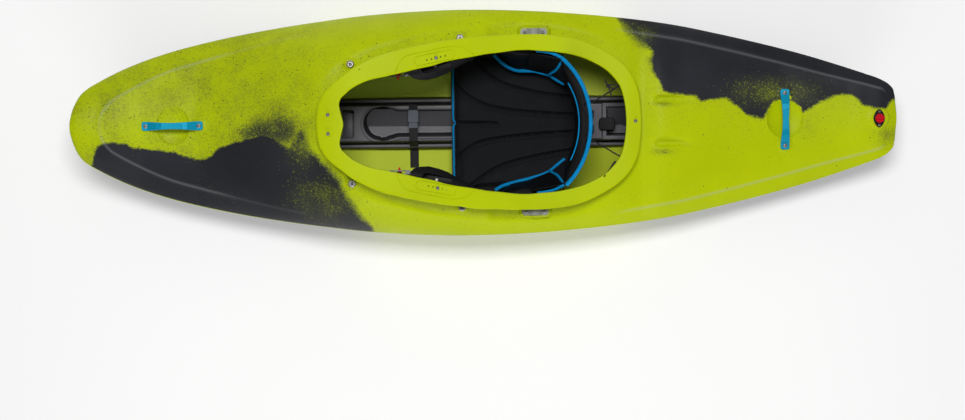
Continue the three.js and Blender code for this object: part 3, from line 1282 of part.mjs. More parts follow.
function braceRing(u, side, drop, thick) {
  const s = braceSection(u);
  const over = [
    [s.outer, s.top],
    [(s.outer + s.shoulder) / 2, s.top],
    [s.shoulder, s.top],
    [s.shoulder - LIP_THICK / 3, s.lip],
    [s.edge - 0.2 * (s.edge - s.inner), s.lip],
    [s.edge - 0.6 * (s.edge - s.inner), s.lip - s.drop * 0.35],
    [s.inner, s.lip - s.drop],
  ].map(([y, z]) => [y, z - drop]);
  const under = over.map(([y, z]) => [y, z - thick]).reverse();
  return [...over, ...under].map(([y, z]) => vector(s.x, side * y, z));
}

function braceBlank(side, drop, thick) {
  const ring = (_, i) => braceRing(i / braceSteps, side, drop, thick);
  const rings = Array.from({ length: braceSteps + 1 }, ring);
  return solid(skin(rings));
}

function thighBrace(name, side) {
  const slotX = braceBoltX;
  const slotY = side * (openingReach(slotX) - BRACE_SLOT_WIDTH / 6);
  const slot = roundedOutline(BRACE_SLOT_LENGTH, BRACE_SLOT_WIDTH, BRACE_SLOT_WIDTH / 2.1, 0, 0, 4);
  const cutter = upright(slot, rimTop(slotX) - 3 * BRACE_HOOK_DROP, rimTop(slotX));
  cutter.rotateZ(side * Math.atan(ADJUSTER_SLANT_SHARE));
  cutter.translate(slotX, slotY, 0);
  const top = rimTop(braceBoltX);
  const hole = boltHole(braceBoltX, side * BRACE_BOLT_OUT, top - 2 * BRACE_HOOK_DROP, top);
  const plate = braceBlank(side, 0, BRACE_THICK).subtract(rimBody(SEAT_GAP));
  const brace = plate.subtract(solid(cutter)).subtract(hole).add(ratchetTab(side));
  place(`thigh_brace_${name}`, geometryOf(brace), materials.blackPlastic);
  const plateRoom = braceBlank(side, SEAT_GAP, BRACE_THICK);
  const padBlank = braceBlank(side, BRACE_THICK, BRACE_PAD_THICK).subtract(plateRoom);
  const pad = padBlank.subtract(solid(cutter)).subtract(hole).subtract(ratchetTab(side, 2 * SEAT_GAP));
  place(`thigh_pad_${name}`, geometryOf(pad), materials.foam);
  const level = flatLevel(braceBoltX, SMALL_SCREW_HEAD_RADIUS);
  const shank = level - (braceSection((braceBoltX - braceFront) / BRACE_LENGTH).top - BRACE_THICK);
  const y = side * BRACE_BOLT_OUT;
  bolt(`brace_bolt_${name}`, braceBoltX, y, level, SMALL_SCREW_HEAD_RADIUS, false, shank);
}

// The ratchet stands on a tab at the front of each brace.
const ratchetX = rimFront + RATCHET_FROM_RIM;
const ratchetRear = ratchetX + RATCHET_LENGTH;
const ratchetTop = rimTop(ratchetX + RATCHET_LENGTH / 2) - RATCHET_DROP + RATCHET_HEIGHT / 2;
const ratchetLow = ratchetTop - RATCHET_HEIGHT;

function ratchetTab(side, grow = 0) {
  const y0 = RATCHET_OUT + SEAT_GAP - grow;
  const y1 = RATCHET_OUT + BRACE_THICK + grow;
  const top = rimTop(ratchetRear) - INNER_LIP_DEPTH - 2 * SEAT_GAP;
  const [a, b] = side > 0 ? [y0, y1] : [-y1, -y0];
  return solid(box(ratchetX - grow, ratchetRear + grow, a, b, ratchetLow - grow, top));
}

function ratchet(name, side) {
  const plateIn = RATCHET_OUT - RATCHET_PLATE_THICK;
  const outline = (points) => mirrored(points, side);
  const pinX = ratchetRear - 3 * RATCHET_PIN_RADIUS;
  const pinY = plateIn - RATCHET_EAR_REACH / 2;
  const ears = outline([
    [ratchetRear, plateIn + RATCHET_PLATE_THICK / 2],
    [ratchetRear, pinY - 1.5 * RATCHET_PIN_RADIUS],
    [pinX - 2 * RATCHET_PIN_RADIUS, pinY - 1.5 * RATCHET_PIN_RADIUS],
    [pinX - 4 * RATCHET_PIN_RADIUS, plateIn + RATCHET_PLATE_THICK / 2],
  ]);
  const plate = outline([
    [ratchetX, plateIn], [ratchetRear, plateIn], [ratchetRear, RATCHET_OUT], [ratchetX, RATCHET_OUT],
  ]);
  const ear = RATCHET_PLATE_THICK;
  let base = solid(upright(plate, ratchetLow, ratchetTop));
  base = base.add(solid(upright(ears, ratchetLow, ratchetLow + ear)));
  base = base.add(solid(upright(ears, ratchetTop - ear, ratchetTop)));
  const pin = rod(RATCHET_PIN_RADIUS, ratchetLow + ear / 2, ratchetTop - ear / 2);
  base = base.add(solid(pin.translate(pinX, side * pinY, 0)));
  place(`ratchet_base_${name}`, geometryOf(base), materials.steel);

  const low = ratchetLow + ear + SEAT_GAP;
  const high = ratchetTop - ear - SEAT_GAP;
  const grip = outline([
    [pinX + 1.6 * RATCHET_PIN_RADIUS, pinY + LEVER_THICK],
    [pinX + 1.6 * RATCHET_PIN_RADIUS, pinY - LEVER_THICK],
    [ratchetX + RATCHET_LENGTH / 3, pinY - LEVER_THICK],
    [ratchetX - LEVER_THICK, plateIn - LEVER_END_REACH],
    [ratchetX - LEVER_THICK, plateIn - LEVER_END_REACH + LEVER_THICK],
    [ratchetX + RATCHET_LENGTH / 3, pinY],
    [pinX - 1.6 * RATCHET_PIN_RADIUS, pinY],
    [pinX - 1.6 * RATCHET_PIN_RADIUS, pinY + LEVER_THICK],
  ]);
  let lever = solid(upright(grip, low, high));
  const bore = rod(RATCHET_PIN_RADIUS + SEAT_GAP, low - ear, high + ear).translate(pinX, side * pinY, 0);
  lever = lever.subtract(solid(bore));
  place(`ratchet_lever_${name}`, geometryOf(lever), materials.steel);
  releaseTab(name, side, plateIn);
}

// The red tab lifts the pawl. It turns on the ratchet's plate under the lever.
function releaseTab(name, side, plateIn) {
  const x = ratchetX + RATCHET_LENGTH * 0.45;
  const face = plateIn - SEAT_GAP;
  const low = ratchetLow - RELEASE_THICK - SEAT_GAP;
  const tab = mirrored([
    [x - RELEASE_LENGTH / 2, RATCHET_OUT],
    [x - RELEASE_LENGTH / 2, face - RELEASE_REACH],
    [x, face - 1.7 * RELEASE_REACH],
    [x + RELEASE_LENGTH / 2, face - RELEASE_REACH],
    [x + RELEASE_LENGTH / 2, RATCHET_OUT],
  ], side);
  place(`ratchet_release_${name}`, upright(tab, low, low + RELEASE_THICK), materials.redPlastic);
}

// A toothed strap runs from each ratchet, outside the seat's hanger, to the end of the backband.
function tensionStrap(name, side) {
  const z = (ratchetLow + ratchetTop) / 2;
  const hangerOut = HANGER_OUT + HANGER_THICK + 2 * TENSION_STRAP_THICK;
  const under = hangerLevel - HANGER_THICK - TENSION_STRAP_WIDTH;
  const onBand = (u) => bandPoint(u, BAND_RADIUS + SEAT_GAP + TENSION_STRAP_THICK / 2, under).toArray();
  const start = RATCHET_OUT + BRACE_THICK + SEAT_GAP + TENSION_STRAP_THICK / 2;
  const points = [
    [ratchetX + RATCHET_LENGTH / 3, start, z],
    [ratchetX + (RATCHET_LENGTH * 2) / 3, start, z],
    [ratchetRear, start + SEAT_GAP, z],
    [ratchetRear + RATCHET_LENGTH, start + 2 * BRACE_THICK, z - RATCHET_HEIGHT],
    [(ratchetRear + hangerFront) / 2, (start + hangerOut) / 2 + BRACE_THICK, (z + under) / 2],
    [hangerFront, hangerOut, under],
    [(hangerFront + hangerRear) / 2, hangerOut + TENSION_STRAP_THICK, under],
    [hangerRear, hangerOut, under],
    [(hangerRear + onBand(1)[0]) / 2 + TENSION_STRAP_WIDTH / 2, hangerOut - TENSION_STRAP_WIDTH, under],
    onBand(0.97),
    onBand(0.88),
    onBand(0.78),
  ].map(([x, y, h]) => vector(x, side * y, h));
  const strap = strapAlong(points, TENSION_STRAP_WIDTH, TENSION_STRAP_THICK, STRAP_STEPS);
  place(`tension_strap_${name}`, strap, materials.blackPlastic);
}

// A polyline moved sideways by a distance, to its left, with mitred corners.
function offsetLine(points, distance) {
  const line = points.map(([a, b]) => new THREE.Vector2(a, b));
  const normals = line.slice(1).map((point, i) => {
    const run = point.clone().sub(line[i]).normalize();
    return new THREE.Vector2(-run.y, run.x);
  });
  return line.map((point, i) => {
    const before = normals[Math.max(i - 1, 0)];
    const after = normals[Math.min(i, normals.length - 1)];
    const mitre = before.clone().add(after);
    mitre.multiplyScalar((2 * distance) / mitre.lengthSq());
    return point.clone().add(mitre).toArray();
  });
}

// The bottle strap crosses the rail's recess: a buckle on the starboard side, a long tail to port.
const strapX = railFront + BOTTLE_STRAP_FROM_FRONT;
function web(points, name) {
  const over = offsetLine(points, WEB_THICK).reverse();
  const start = strapX - WEB_WIDTH / 2;
  place(name, lengthwise([...points, ...over], start, start + WEB_WIDTH), materials.webbing);
}

function bottleStrap() {
  const lie = RAIL_HEIGHT + SEAT_GAP;
  const buckleEnd = BUCKLE_OUT + BUCKLE_LENGTH;
  const ridge = RAIL_TOP_WIDTH / 2;
  web([[buckleEnd + SEAT_GAP, lie], [ridge, lie], [ridge + 2 * WEB_THICK, lie]], 'bottle_strap_starboard');
  const bodyY = BUCKLE_OUT + BUCKLE_LENGTH / 2;
  const body = roundedOutline(BUCKLE_WIDTH, BUCKLE_LENGTH, BUCKLE_WIDTH / 6, strapX, bodyY);
  const tongueWidth = WEB_WIDTH - 2 * WEB_THICK;
  const tongueIn = BUCKLE_OUT + TONGUE_LENGTH / 2;
  const socket = box(
    strapX - tongueWidth / 2 - SEAT_GAP, strapX + tongueWidth / 2 + SEAT_GAP, BUCKLE_OUT - CUT_OVERRUN,
    tongueIn + SEAT_GAP, lie + BUCKLE_THICK / 4 - SEAT_GAP, lie + (BUCKLE_THICK * 3) / 4 + SEAT_GAP,
  );
  const buckle = solid(upright(body, lie, lie + BUCKLE_THICK)).subtract(solid(socket));
  place('buckle_body', geometryOf(buckle), materials.greyPlastic);
  const tongueLow = lie + BUCKLE_THICK / 4;
  const tongueHigh = lie + (BUCKLE_THICK * 3) / 4;
  const tongueOut = BUCKLE_OUT - TONGUE_LENGTH;
  const [tongueFront, tongueRear] = [strapX - tongueWidth / 2, strapX + tongueWidth / 2];
  let tongue = solid(box(tongueFront, tongueRear, tongueOut, tongueIn, tongueLow, tongueHigh));
  const shoulder = roundedOutline(WEB_WIDTH, TONGUE_LENGTH - SEAT_GAP, WEB_THICK, strapX,
    BUCKLE_OUT - (TONGUE_LENGTH + SEAT_GAP) / 2);
  tongue = tongue.add(solid(upright(shoulder, lie, lie + BUCKLE_THICK)));
  place('buckle_tongue', geometryOf(tongue), materials.greyPlastic);
  const foot = RAIL_FOOT_WIDTH / 2;
  const floor = floorHeight(strapX) + SEAT_GAP;
  const railFoot = floor + RAIL_WALL;
  web([
    [-WEB_TAIL_OUT, floor],
    [-foot - 2 * SEAT_GAP, floor],
    [-foot - 2 * SEAT_GAP, railFoot],
    [-ridge - 2 * SEAT_GAP, lie],
    [-tongueEnd(), lie],
  ], 'bottle_strap_port');
}
const tongueEnd = () => TONGUE_LENGTH - BUCKLE_OUT + SEAT_GAP;

// The footrest: a plate each side that slides on a rail fixed to the front pillar.
function footrest(name, side) {
  const start = -FOOT_RAIL_AHEAD;
  const inner = PILLAR_THICK / 2 + SEAT_GAP;
  const outer = inner + FOOT_RAIL_THICK;
  const half = FOOT_RAIL_HEIGHT / 2;
  const mid = FOOT_RAIL_LEVEL;
  const lip = FOOT_RAIL_THICK / 2;
  const rail = mirroredSection([
    [inner, mid - half + lip], [inner + lip, mid - half + lip], [inner + lip, mid - half],
    [outer, mid - half], [outer, mid + half], [inner + lip, mid + half],
    [inner + lip, mid + half - lip], [inner, mid + half - lip],
  ], side);
  place(`foot_rail_${name}`, lengthwise(rail, start, start + FOOT_RAIL_LENGTH), materials.blackPlastic);
  const plateX = -FOOT_PLATE_AHEAD;
  const gap = FOOT_SLEEVE_GAP;
  const wall = FOOT_SLEEVE_WALL;
  const sleeve = mirroredSection([
    [inner + lip + gap, mid - half - gap - wall], [outer + gap + wall, mid - half - gap - wall],
    [outer + gap + wall, mid + half + gap + wall], [inner + lip + gap, mid + half + gap + wall],
    [inner + lip + gap, mid + half + gap], [outer + gap, mid + half + gap],
    [outer + gap, mid - half - gap], [inner + lip + gap, mid - half - gap],
  ], side);
  const length = FOOT_SLEEVE_LENGTH / 2;
  const body = solid(lengthwise(sleeve, plateX - length, plateX + length));
  const plateIn = outer + gap + wall / 2;
  const face = roundedOutline(FOOT_PLATE_WIDTH, FOOT_PLATE_HEIGHT, FOOT_PLATE_HEIGHT / 6,
    side * (plateIn + FOOT_PLATE_WIDTH / 2), mid);
  const plate = solid(lengthwise(face, plateX - FOOT_PLATE_THICK / 2, plateX + FOOT_PLATE_THICK / 2));
  place(`foot_plate_${name}`, geometryOf(body.add(plate)), materials.blackPlastic);
}
const mirroredSection = (points, side) => points.map(([y, z]) => [side * y, z]);

function deckFasteners() {
  sides.forEach(([name, side]) => {
    deckBolts.forEach(({ name: where, x, y, level }) => {
      bolt(`deck_bolt_${where}_${name}`, x, side * y, level, BOLT_HEAD_RADIUS, true, BOLT_SHANK_LENGTH);
    });
    const level = flatLevel(rimScrewX, 2 * SMALL_SCREW_HEAD_RADIUS);
    const short = FLANGE_THICK + CUT_OVERRUN;
    bolt(`rim_screw_${name}`, rimScrewX, side * RIM_SCREW_OUT, level, SMALL_SCREW_HEAD_RADIUS, false, short);
  });
  const tailLevel = flatLevel(tailScrewX, SMALL_SCREW_HEAD_RADIUS);
  const tailShank = FLANGE_THICK + CUT_OVERRUN;
  bolt('rim_screw_rear', tailScrewX, 0, tailLevel, SMALL_SCREW_HEAD_RADIUS, false, tailShank);
}

hullShell();
grabHandle('bow_handle');
grabHandle('stern_handle');
drain();
deckFasteners();
seatRail();
pillar('front_pillar', railFront - SEAT_GAP - PILLAR_LENGTH, railFront - SEAT_GAP, handles.bow_handle);
pillar('rear_pillar', railRear + SEAT_GAP, railRear + SEAT_GAP + PILLAR_LENGTH, handles.stern_handle);
seatPan();
seatCushion();
backbandShell();
backbandPad();
strapAnchor();
bottleStrap();
sides.forEach(([name, side]) => {
  securityBar(name, side);
  hipPad(name, side);
  backbandCord(name, side);
  thighBrace(name, side);
  ratchet(name, side);
  tensionStrap(name, side);
  footrest(name, side);
});

export default kayak;
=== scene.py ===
import json
import math

import bmesh
import bpy
import numpy as np
from bpy.props import FloatProperty, FloatVectorProperty, PointerProperty
from mathutils import Matrix, Vector
from mathutils.bvhtree import BVHTree

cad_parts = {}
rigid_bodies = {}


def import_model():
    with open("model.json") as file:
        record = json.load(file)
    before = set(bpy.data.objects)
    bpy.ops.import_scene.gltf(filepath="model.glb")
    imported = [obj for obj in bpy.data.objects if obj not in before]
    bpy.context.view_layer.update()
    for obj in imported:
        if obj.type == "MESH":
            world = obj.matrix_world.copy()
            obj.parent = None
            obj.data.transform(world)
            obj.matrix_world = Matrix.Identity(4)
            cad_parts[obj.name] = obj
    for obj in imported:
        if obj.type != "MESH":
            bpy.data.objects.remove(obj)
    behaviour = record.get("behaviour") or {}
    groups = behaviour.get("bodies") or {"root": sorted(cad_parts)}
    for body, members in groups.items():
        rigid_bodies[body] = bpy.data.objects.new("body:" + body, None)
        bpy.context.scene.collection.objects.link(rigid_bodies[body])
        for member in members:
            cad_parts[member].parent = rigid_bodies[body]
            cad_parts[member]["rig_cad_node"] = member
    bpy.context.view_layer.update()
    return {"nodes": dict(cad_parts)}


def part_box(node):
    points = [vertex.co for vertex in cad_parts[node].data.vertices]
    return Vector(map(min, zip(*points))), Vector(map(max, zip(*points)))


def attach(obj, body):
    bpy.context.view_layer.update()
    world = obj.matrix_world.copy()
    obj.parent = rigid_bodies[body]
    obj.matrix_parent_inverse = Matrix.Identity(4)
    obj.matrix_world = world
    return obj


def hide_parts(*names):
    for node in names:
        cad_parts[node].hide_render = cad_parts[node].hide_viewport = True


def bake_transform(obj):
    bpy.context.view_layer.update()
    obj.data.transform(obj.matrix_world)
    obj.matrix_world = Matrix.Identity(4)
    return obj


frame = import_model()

bl_info = {
    "name": "Whitewater kayak",
    "version": (1, 0, 0),
    "blender": (4, 5, 0),
    "location": "3D View > Sidebar > Kayak",
    "description": "Builds a whitewater kayak and its outfitting round the packed frame",
    "category": "Add Mesh",
}

HULL_LOW, HULL_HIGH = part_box("hull_shell")
SIDES = (("port", -1), ("starboard", 1))


def colour_property(name, description, value):
    """A colour that the sidebar shows, with the values that it is sampled at."""
    return FloatVectorProperty(name=name, description=description, subtype="COLOR", size=3, min=0, max=1,
                               default=tuple(linear(v) for v in value))


def linear(value):
    """A screen colour value, 0 to 255, as scene-linear light."""
    value /= 255
    return value / 12.92 if value <= 0.04045 else ((value + 0.055) / 1.055) ** 2.4


class KayakColours(bpy.types.PropertyGroup):
    """Colours of the kayak's materials."""

    lime: colour_property("Lime", "Main colour of the moulding", (186, 203, 0))
    charcoal: colour_property("Charcoal", "Second colour of the moulding, at its ends", (43, 44, 49))
    teal: colour_property("Teal", "Anodised grab handles", (2, 150, 186))
    piping: colour_property("Piping", "Bound edges of the seat and the backband", (0, 140, 205))
    neoprene: colour_property("Neoprene", "Covers of the seat, hip pads and backband", (27, 28, 32))
    red: colour_property("Red", "Drain plug and release tabs", (196, 6, 30))


def length_property(name, description, value):
    """A length that the sidebar shows."""
    return FloatProperty(name=name, description=description, default=value, unit="LENGTH")


class KayakSizes(bpy.types.PropertyGroup):
    """Sizes that a user would change."""

    wall: length_property("Hull wall", "Thickness of the moulded shell", 0.006)
    dish_depth: length_property("Dish depth", "Depth of the finger dish under each handle", 0.0125)
    dish_radius: length_property("Dish radius", "Radius of the finger dish under each handle", 0.05)
    cord: length_property("Cord", "Diameter of the backband's elastic cords", 0.004)
    piping: length_property("Piping", "Diameter of the bound edge of the backband", 0.011)
    floor_size: length_property("Floor", "Width of the studio floor", 30)


# Shares of the hull's length and of half its beam, then of its length and of the deck's height
HALF_BEAM = (HULL_HIGH.y - HULL_LOW.y) / 2
BOW, STERN = HULL_LOW.x, HULL_HIGH.x
DECK = 0.346
WIDTH_SHARES = [
    (0, 0.06), (0.003, 0.155), (0.0133, 0.298), (0.0294, 0.388), (0.0641, 0.524), (0.1002, 0.624),
    (0.1367, 0.701), (0.1918, 0.791), (0.2473, 0.861), (0.3029, 0.917), (0.358, 0.963), (0.4129, 0.989),
    (0.4676, 1), (0.504, 0.998), (0.5587, 0.984), (0.6135, 0.956), (0.6687, 0.917), (0.7243, 0.862),
    (0.7801, 0.781), (0.836, 0.686), (0.8915, 0.577), (0.928, 0.491), (0.9633, 0.4), (0.9809, 0.35),
    (0.996, 0.264), (0.999, 0.16), (1, 0.06),
]
KEEL_SHARES = [
    (0, 0.627), (0.0043, 0.601), (0.0135, 0.549), (0.0352, 0.436), (0.0709, 0.309), (0.1083, 0.2225),
    (0.147, 0.1445), (0.1857, 0.098), (0.2243, 0.0636), (0.263, 0.0448), (0.3017, 0.0303),
    (0.3387, 0.0173), (0.3757, 0.0058), (0.4126, 0), (0.597, 0), (0.6339, 0.0058), (0.6709, 0.0188),
    (0.707, 0.0405), (0.7422, 0.0665), (0.7778, 0.0954), (0.813, 0.1243), (0.8487, 0.1647),
    (0.8843, 0.2139), (0.92, 0.263), (0.9557, 0.315), (0.9783, 0.347), (0.9957, 0.384), (1, 0.413),
]
SHEER_SHARES = [
    (0, 0.65), (0.0135, 0.5867), (0.0283, 0.529), (0.0422, 0.4855), (0.0609, 0.448), (0.0787, 0.4249),
    (0.1174, 0.4075), (0.1574, 0.4017), (0.2243, 0.422), (0.2887, 0.4595), (0.3413, 0.4855),
    (0.4161, 0.5173), (0.48, 0.5491), (0.5435, 0.5275), (0.6117, 0.5014), (0.6739, 0.4566),
    (0.7539, 0.3988), (0.8204, 0.3526), (0.8609, 0.3468), (0.8939, 0.3497), (0.9304, 0.3757),
    (0.9665, 0.4162), (0.9957, 0.4422), (1, 0.4393),
]
CROWN_SHARES = [
    (0, 0.6705), (0.0087, 0.685), (0.0174, 0.685), (0.0352, 0.6734), (0.0709, 0.636), (0.0852, 0.6156),
    (0.1174, 0.5997), (0.147, 0.5954), (0.1665, 0.6214), (0.1857, 0.6618), (0.2243, 0.7486),
    (0.2439, 0.8064), (0.2826, 0.9017), (0.3226, 0.9827), (0.3522, 1), (0.3878, 0.9942), (0.4261, 0.948),
    (0.463, 0.8844), (0.4935, 0.8208), (0.523, 0.7688), (0.5565, 0.7341), (0.5935, 0.711),
    (0.6313, 0.6994), (0.6683, 0.6821), (0.687, 0.656), (0.6978, 0.6763), (0.7091, 0.6965),
    (0.7422, 0.6532), (0.7778, 0.5954), (0.813, 0.5462), (0.8487, 0.5), (0.8665, 0.4827), (0.9378, 0.4827),
    (0.9557, 0.4884), (0.9735, 0.4884), (0.9913, 0.474), (1, 0.4538),
]
FULLNESS_SHARES = [
    (0, 2.2), (0.24, 2.4), (0.3, 3), (0.3878, 3.8), (0.463, 3.8), (0.523, 3.5), (0.5935, 3), (0.6313, 2.6),
    (0.668, 2.4), (0.72, 2.2), (1, 2.2),
]
RIM_SHARES = [
    (0, 0), (0.007, 0.218), (0.0233, 0.34), (0.0478, 0.437), (0.0809, 0.532), (0.1097, 0.615),
    (0.1369, 0.669), (0.1662, 0.722), (0.2055, 0.78), (0.2515, 0.823), (0.3103, 0.8726), (0.3752, 0.919),
    (0.4415, 0.952), (0.5278, 0.986), (0.6206, 1), (0.7138, 0.995), (0.8071, 0.938), (0.8797, 0.823),
    (0.9365, 0.682), (0.9742, 0.5136), (0.9929, 0.332), (0.9988, 0.15), (1, 0),
]
OPENING_SHARES = [
    (0.0135, 0), (0.005, 0.149), (0, 0.285), (0.0055, 0.35), (0.0166, 0.392), (0.0404, 0.476),
    (0.0998, 0.592), (0.165, 0.649), (0.2413, 0.718), (0.3366, 0.808), (0.448, 0.905), (0.5324, 0.962),
    (0.682, 1), (0.7682, 0.969), (0.8754, 0.846), (0.9395, 0.687), (0.983, 0.448), (0.9955, 0.241), (1, 0),
]
RISE_SHARES = [
    (0, 1), (0.1, 0.93), (0.2266, 0.78), (0.4218, 0.8), (0.5777, 1), (0.6738, 0.84), (0.761, 0.72),
    (0.866, 0.61), (1, 0.9),
]
RIM_FRONT, RIM_LENGTH, RIM_WIDTH, RIM_RISE = -0.4585, 0.885, 0.479, 0.028
OPENING_FRONT, OPENING_LENGTH, OPENING_WIDTH = -0.394, 0.778, 0.39
RIM_MIDDLE = RIM_FRONT + RIM_LENGTH / 2
RIM_OVERLAP = 0.025

# Where lime gives way to charcoal, as (X, Y) across the two decks and (X, Z) up the sides
BOW_EDGE = [
    (-1.13, -0.145), (-1.0986, -0.102), (-1.084, -0.066), (-1.076, -0.053), (-1.054, -0.042),
    (-1.0025, -0.046), (-0.978, -0.0586), (-0.942, -0.061), (-0.918, -0.065), (-0.87, -0.0716),
    (-0.834, -0.084), (-0.798, -0.093), (-0.762, -0.0816), (-0.738, -0.0608), (-0.702, -0.0474),
    (-0.6657, -0.0376), (-0.6297, -0.029), (-0.5817, -0.0283), (-0.557, -0.045), (-0.54, -0.058),
    (-0.522, -0.03), (-0.4965, 0.0056), (-0.4876, -0.0245), (-0.4787, -0.0664), (-0.4578, -0.0843),
    (-0.428, -0.114), (-0.398, -0.15), (-0.383, -0.186), (-0.374, -0.204), (-0.346, -0.253),
    (-0.322, -0.281), (-0.3, -0.34),
]
STERN_EDGE = [
    (0.36, 0.34), (0.3736, 0.2794), (0.3873, 0.2517), (0.4066, 0.2295), (0.4257, 0.2128), (0.4644, 0.1932),
    (0.4535, 0.1628), (0.4618, 0.1352), (0.481, 0.1018), (0.4868, 0.0797), (0.5364, 0.071),
    (0.5805, 0.0677), (0.597, 0.0511), (0.6246, 0.056), (0.663, 0.0612), (0.69, 0.045), (0.7296, 0.011),
    (0.7573, 0.0053), (0.7737, -0.0005), (0.7856, 0.027), (0.802, 0.0488), (0.8354, 0.0565),
    (0.8686, 0.0424), (0.8854, 0.02), (0.9129, 0.0306), (0.9406, 0.0498), (0.9795, 0.0631),
    (1.018, 0.0655), (1.0345, 0.057), (1.051, 0.0403), (1.09, 0.026), (1.1176, 0.0285), (1.134, 0.045),
    (1.16, 0.065),
]
# The creases that bound the flat of each deck, as (X, Y to one side)
CREASES = [
    [(-1.068, 0), (-1.067, 0.018), (-1.061, 0.038), (-1.05, 0.055), (-1.037, 0.0695), (-1.01, 0.087),
     (-0.98, 0.104), (-0.948, 0.1215), (-0.912, 0.1385), (-0.88, 0.1515), (-0.846, 0.1625),
     (-0.774, 0.1825), (-0.672, 0.209), (-0.582, 0.231), (-0.5, 0.247)],
    [(0.36, 0.255), (0.55, 0.2235), (0.699, 0.19), (0.83, 0.1575), (0.952, 0.124), (1.06, 0.0965),
     (1.107, 0.083), (1.124, 0.07)],
]
PORT_STERN_SIDE = [
    (0.36, -0.05), (0.397, 0.03), (0.443, 0.078), (0.548, 0.085), (0.655, 0.1), (0.716, 0.122),
    (0.807, 0.13), (0.959, 0.137), (1.11, 0.152), (1.16, 0.16),
]
PORT_BOW_SIDE = [(-0.37, 0.4), (-0.345, 0.2), (-0.34, 0.15), (-0.352, 0.09), (-0.338, 0), (-0.32, -0.1)]
STARBOARD_STERN_SIDE = [(0.41, -0.1), (0.395, 0.05), (0.38, 0.15), (0.37, 0.3)]
STARBOARD_BOW_SIDE = [
    (-1.16, 0.21), (-1.0, 0.14), (-0.85, 0.105), (-0.7, 0.085), (-0.55, 0.07), (-0.45, 0.03),
    (-0.4, -0.05),
]


def smooth_curve(rows):
    """A smooth curve through rows of place and value that never overshoots them."""
    grades = [(b[1] - a[1]) / (b[0] - a[0]) for a, b in zip(rows, rows[1:])]
    slopes = [grades[0]]
    for before, after in zip(grades, grades[1:]):
        slopes.append(2 * before * after / (before + after) if before * after > 0 else 0)
    slopes.append(grades[-1])

    def value(at):
        i = 0
        while i < len(rows) - 2 and rows[i + 1][0] < at:
            i += 1
        (start, low), (end, high) = rows[i], rows[i + 1]
        span = end - start
        t = min(max((at - start) / span, 0), 1)
        back = 1 - t
        ends = low * (1 + 2 * t) * back * back + high * (1 + 2 * back) * t * t
        return ends + span * t * back * (slopes[i] * back - slopes[i + 1] * t)

    return value


def step(low, high, value):
    """0 below low, 1 above high and smooth between them."""
    t = min(max((value - low) / (high - low), 0), 1)
    return t * t * (3 - 2 * t)


def mix(a, b, share):
    return a + (b - a) * share


width_share = smooth_curve(WIDTH_SHARES)
keel_share = smooth_curve(KEEL_SHARES)
sheer_share = smooth_curve(SHEER_SHARES)
crown_share = smooth_curve(CROWN_SHARES)
fullness = smooth_curve(FULLNESS_SHARES)
rise_share = smooth_curve(RISE_SHARES)


def along(x):
    return (x - BOW) / (STERN - BOW)


def half_beam(x):
    return HALF_BEAM * width_share(along(x))


def sheer(x):
    return DECK * sheer_share(along(x))


def crown(x):
    return DECK * crown_share(along(x))


def keel(x):
    return DECK * keel_share(along(x))


def deck(x, y, inset=0.0):
    """Height of the deck before its dishes, pads and grooves."""
    across = min(abs(y) / (half_beam(x) - inset), 1)
    rise = (1 - across ** fullness(along(x))) ** 0.769
    return sheer(x) + (crown(x) - inset - sheer(x)) * rise


def rim_top(x):
    return crown(x) + RIM_RISE * rise_share((x - RIM_FRONT) / RIM_LENGTH)


def outline(shares, front, length, width):
    """A closed outline as a function that gives its radius at an angle round the rim's middle."""
    half = [(front + a * length - RIM_MIDDLE, b * width / 2) for a, b in shares]
    rows = sorted((math.atan2(y, x), math.hypot(x, y)) for x, y in half)
    reach = smooth_curve([(-rows[1][0], rows[1][1])] + rows + [(2 * math.pi - rows[-2][0], rows[-2][1])])
    return lambda angle: reach(abs((angle + math.pi) % (2 * math.pi) - math.pi))


rim_radius = outline(RIM_SHARES, RIM_FRONT, RIM_LENGTH, RIM_WIDTH)
opening_radius = outline(OPENING_SHARES, OPENING_FRONT, OPENING_LENGTH, OPENING_WIDTH)


def opening_radius_at(x):
    """How far out the cockpit opening's edge lies at a place along the boat."""
    out = 0.1
    for _ in range(30):
        angle = math.atan2(out, x - RIM_MIDDLE)
        out = opening_radius(angle) * math.sin(angle)
    return out


def new_object(name, data):
    """An object in the scene, made round its data."""
    item = bpy.data.objects.new(name, data)
    bpy.context.scene.collection.objects.link(item)
    return item


def mesh_of(bm, name):
    """A mesh made from a bmesh, which is used up."""
    mesh = bpy.data.meshes.new(name)
    bm.to_mesh(mesh)
    bm.free()
    return mesh


def as_modified(piece):
    """A new mesh of a piece as its modifiers leave it."""
    return bpy.data.meshes.new_from_object(piece.evaluated_get(bpy.context.evaluated_depsgraph_get()))


def grid(across, along_count, place):
    """A closed form whose points are laid out by place(u, v), both from 0 to 1. Open ends are filled."""
    bm = bmesh.new()
    bmesh.ops.create_grid(bm, x_segments=across, y_segments=along_count, size=0.5)
    for vert in bm.verts:
        vert.co = place(vert.co.x + 0.5, vert.co.y + 0.5)
    bmesh.ops.remove_doubles(bm, verts=bm.verts, dist=1e-6)
    bmesh.ops.dissolve_degenerate(bm, edges=bm.edges, dist=1e-7)
    bmesh.ops.holes_fill(bm, edges=[e for e in bm.edges if e.is_boundary], sides=0)
    bmesh.ops.recalc_face_normals(bm, faces=bm.faces)
    return bm


def make_piece(name, bm, finish, body="hull", stands_for=(), crease=38):
    """Makes the finished object from a bmesh, shades it and lets it ride on a body."""
    mesh = mesh_of(bm, name)
    mesh.shade_smooth()
    mesh.set_sharp_from_angle(angle=math.radians(crease))
    mesh.materials.append(material(finish))
    piece = new_object(name, mesh)
    if stands_for:
        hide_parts(*stands_for)
    if body:
        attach(piece, body)
    return piece


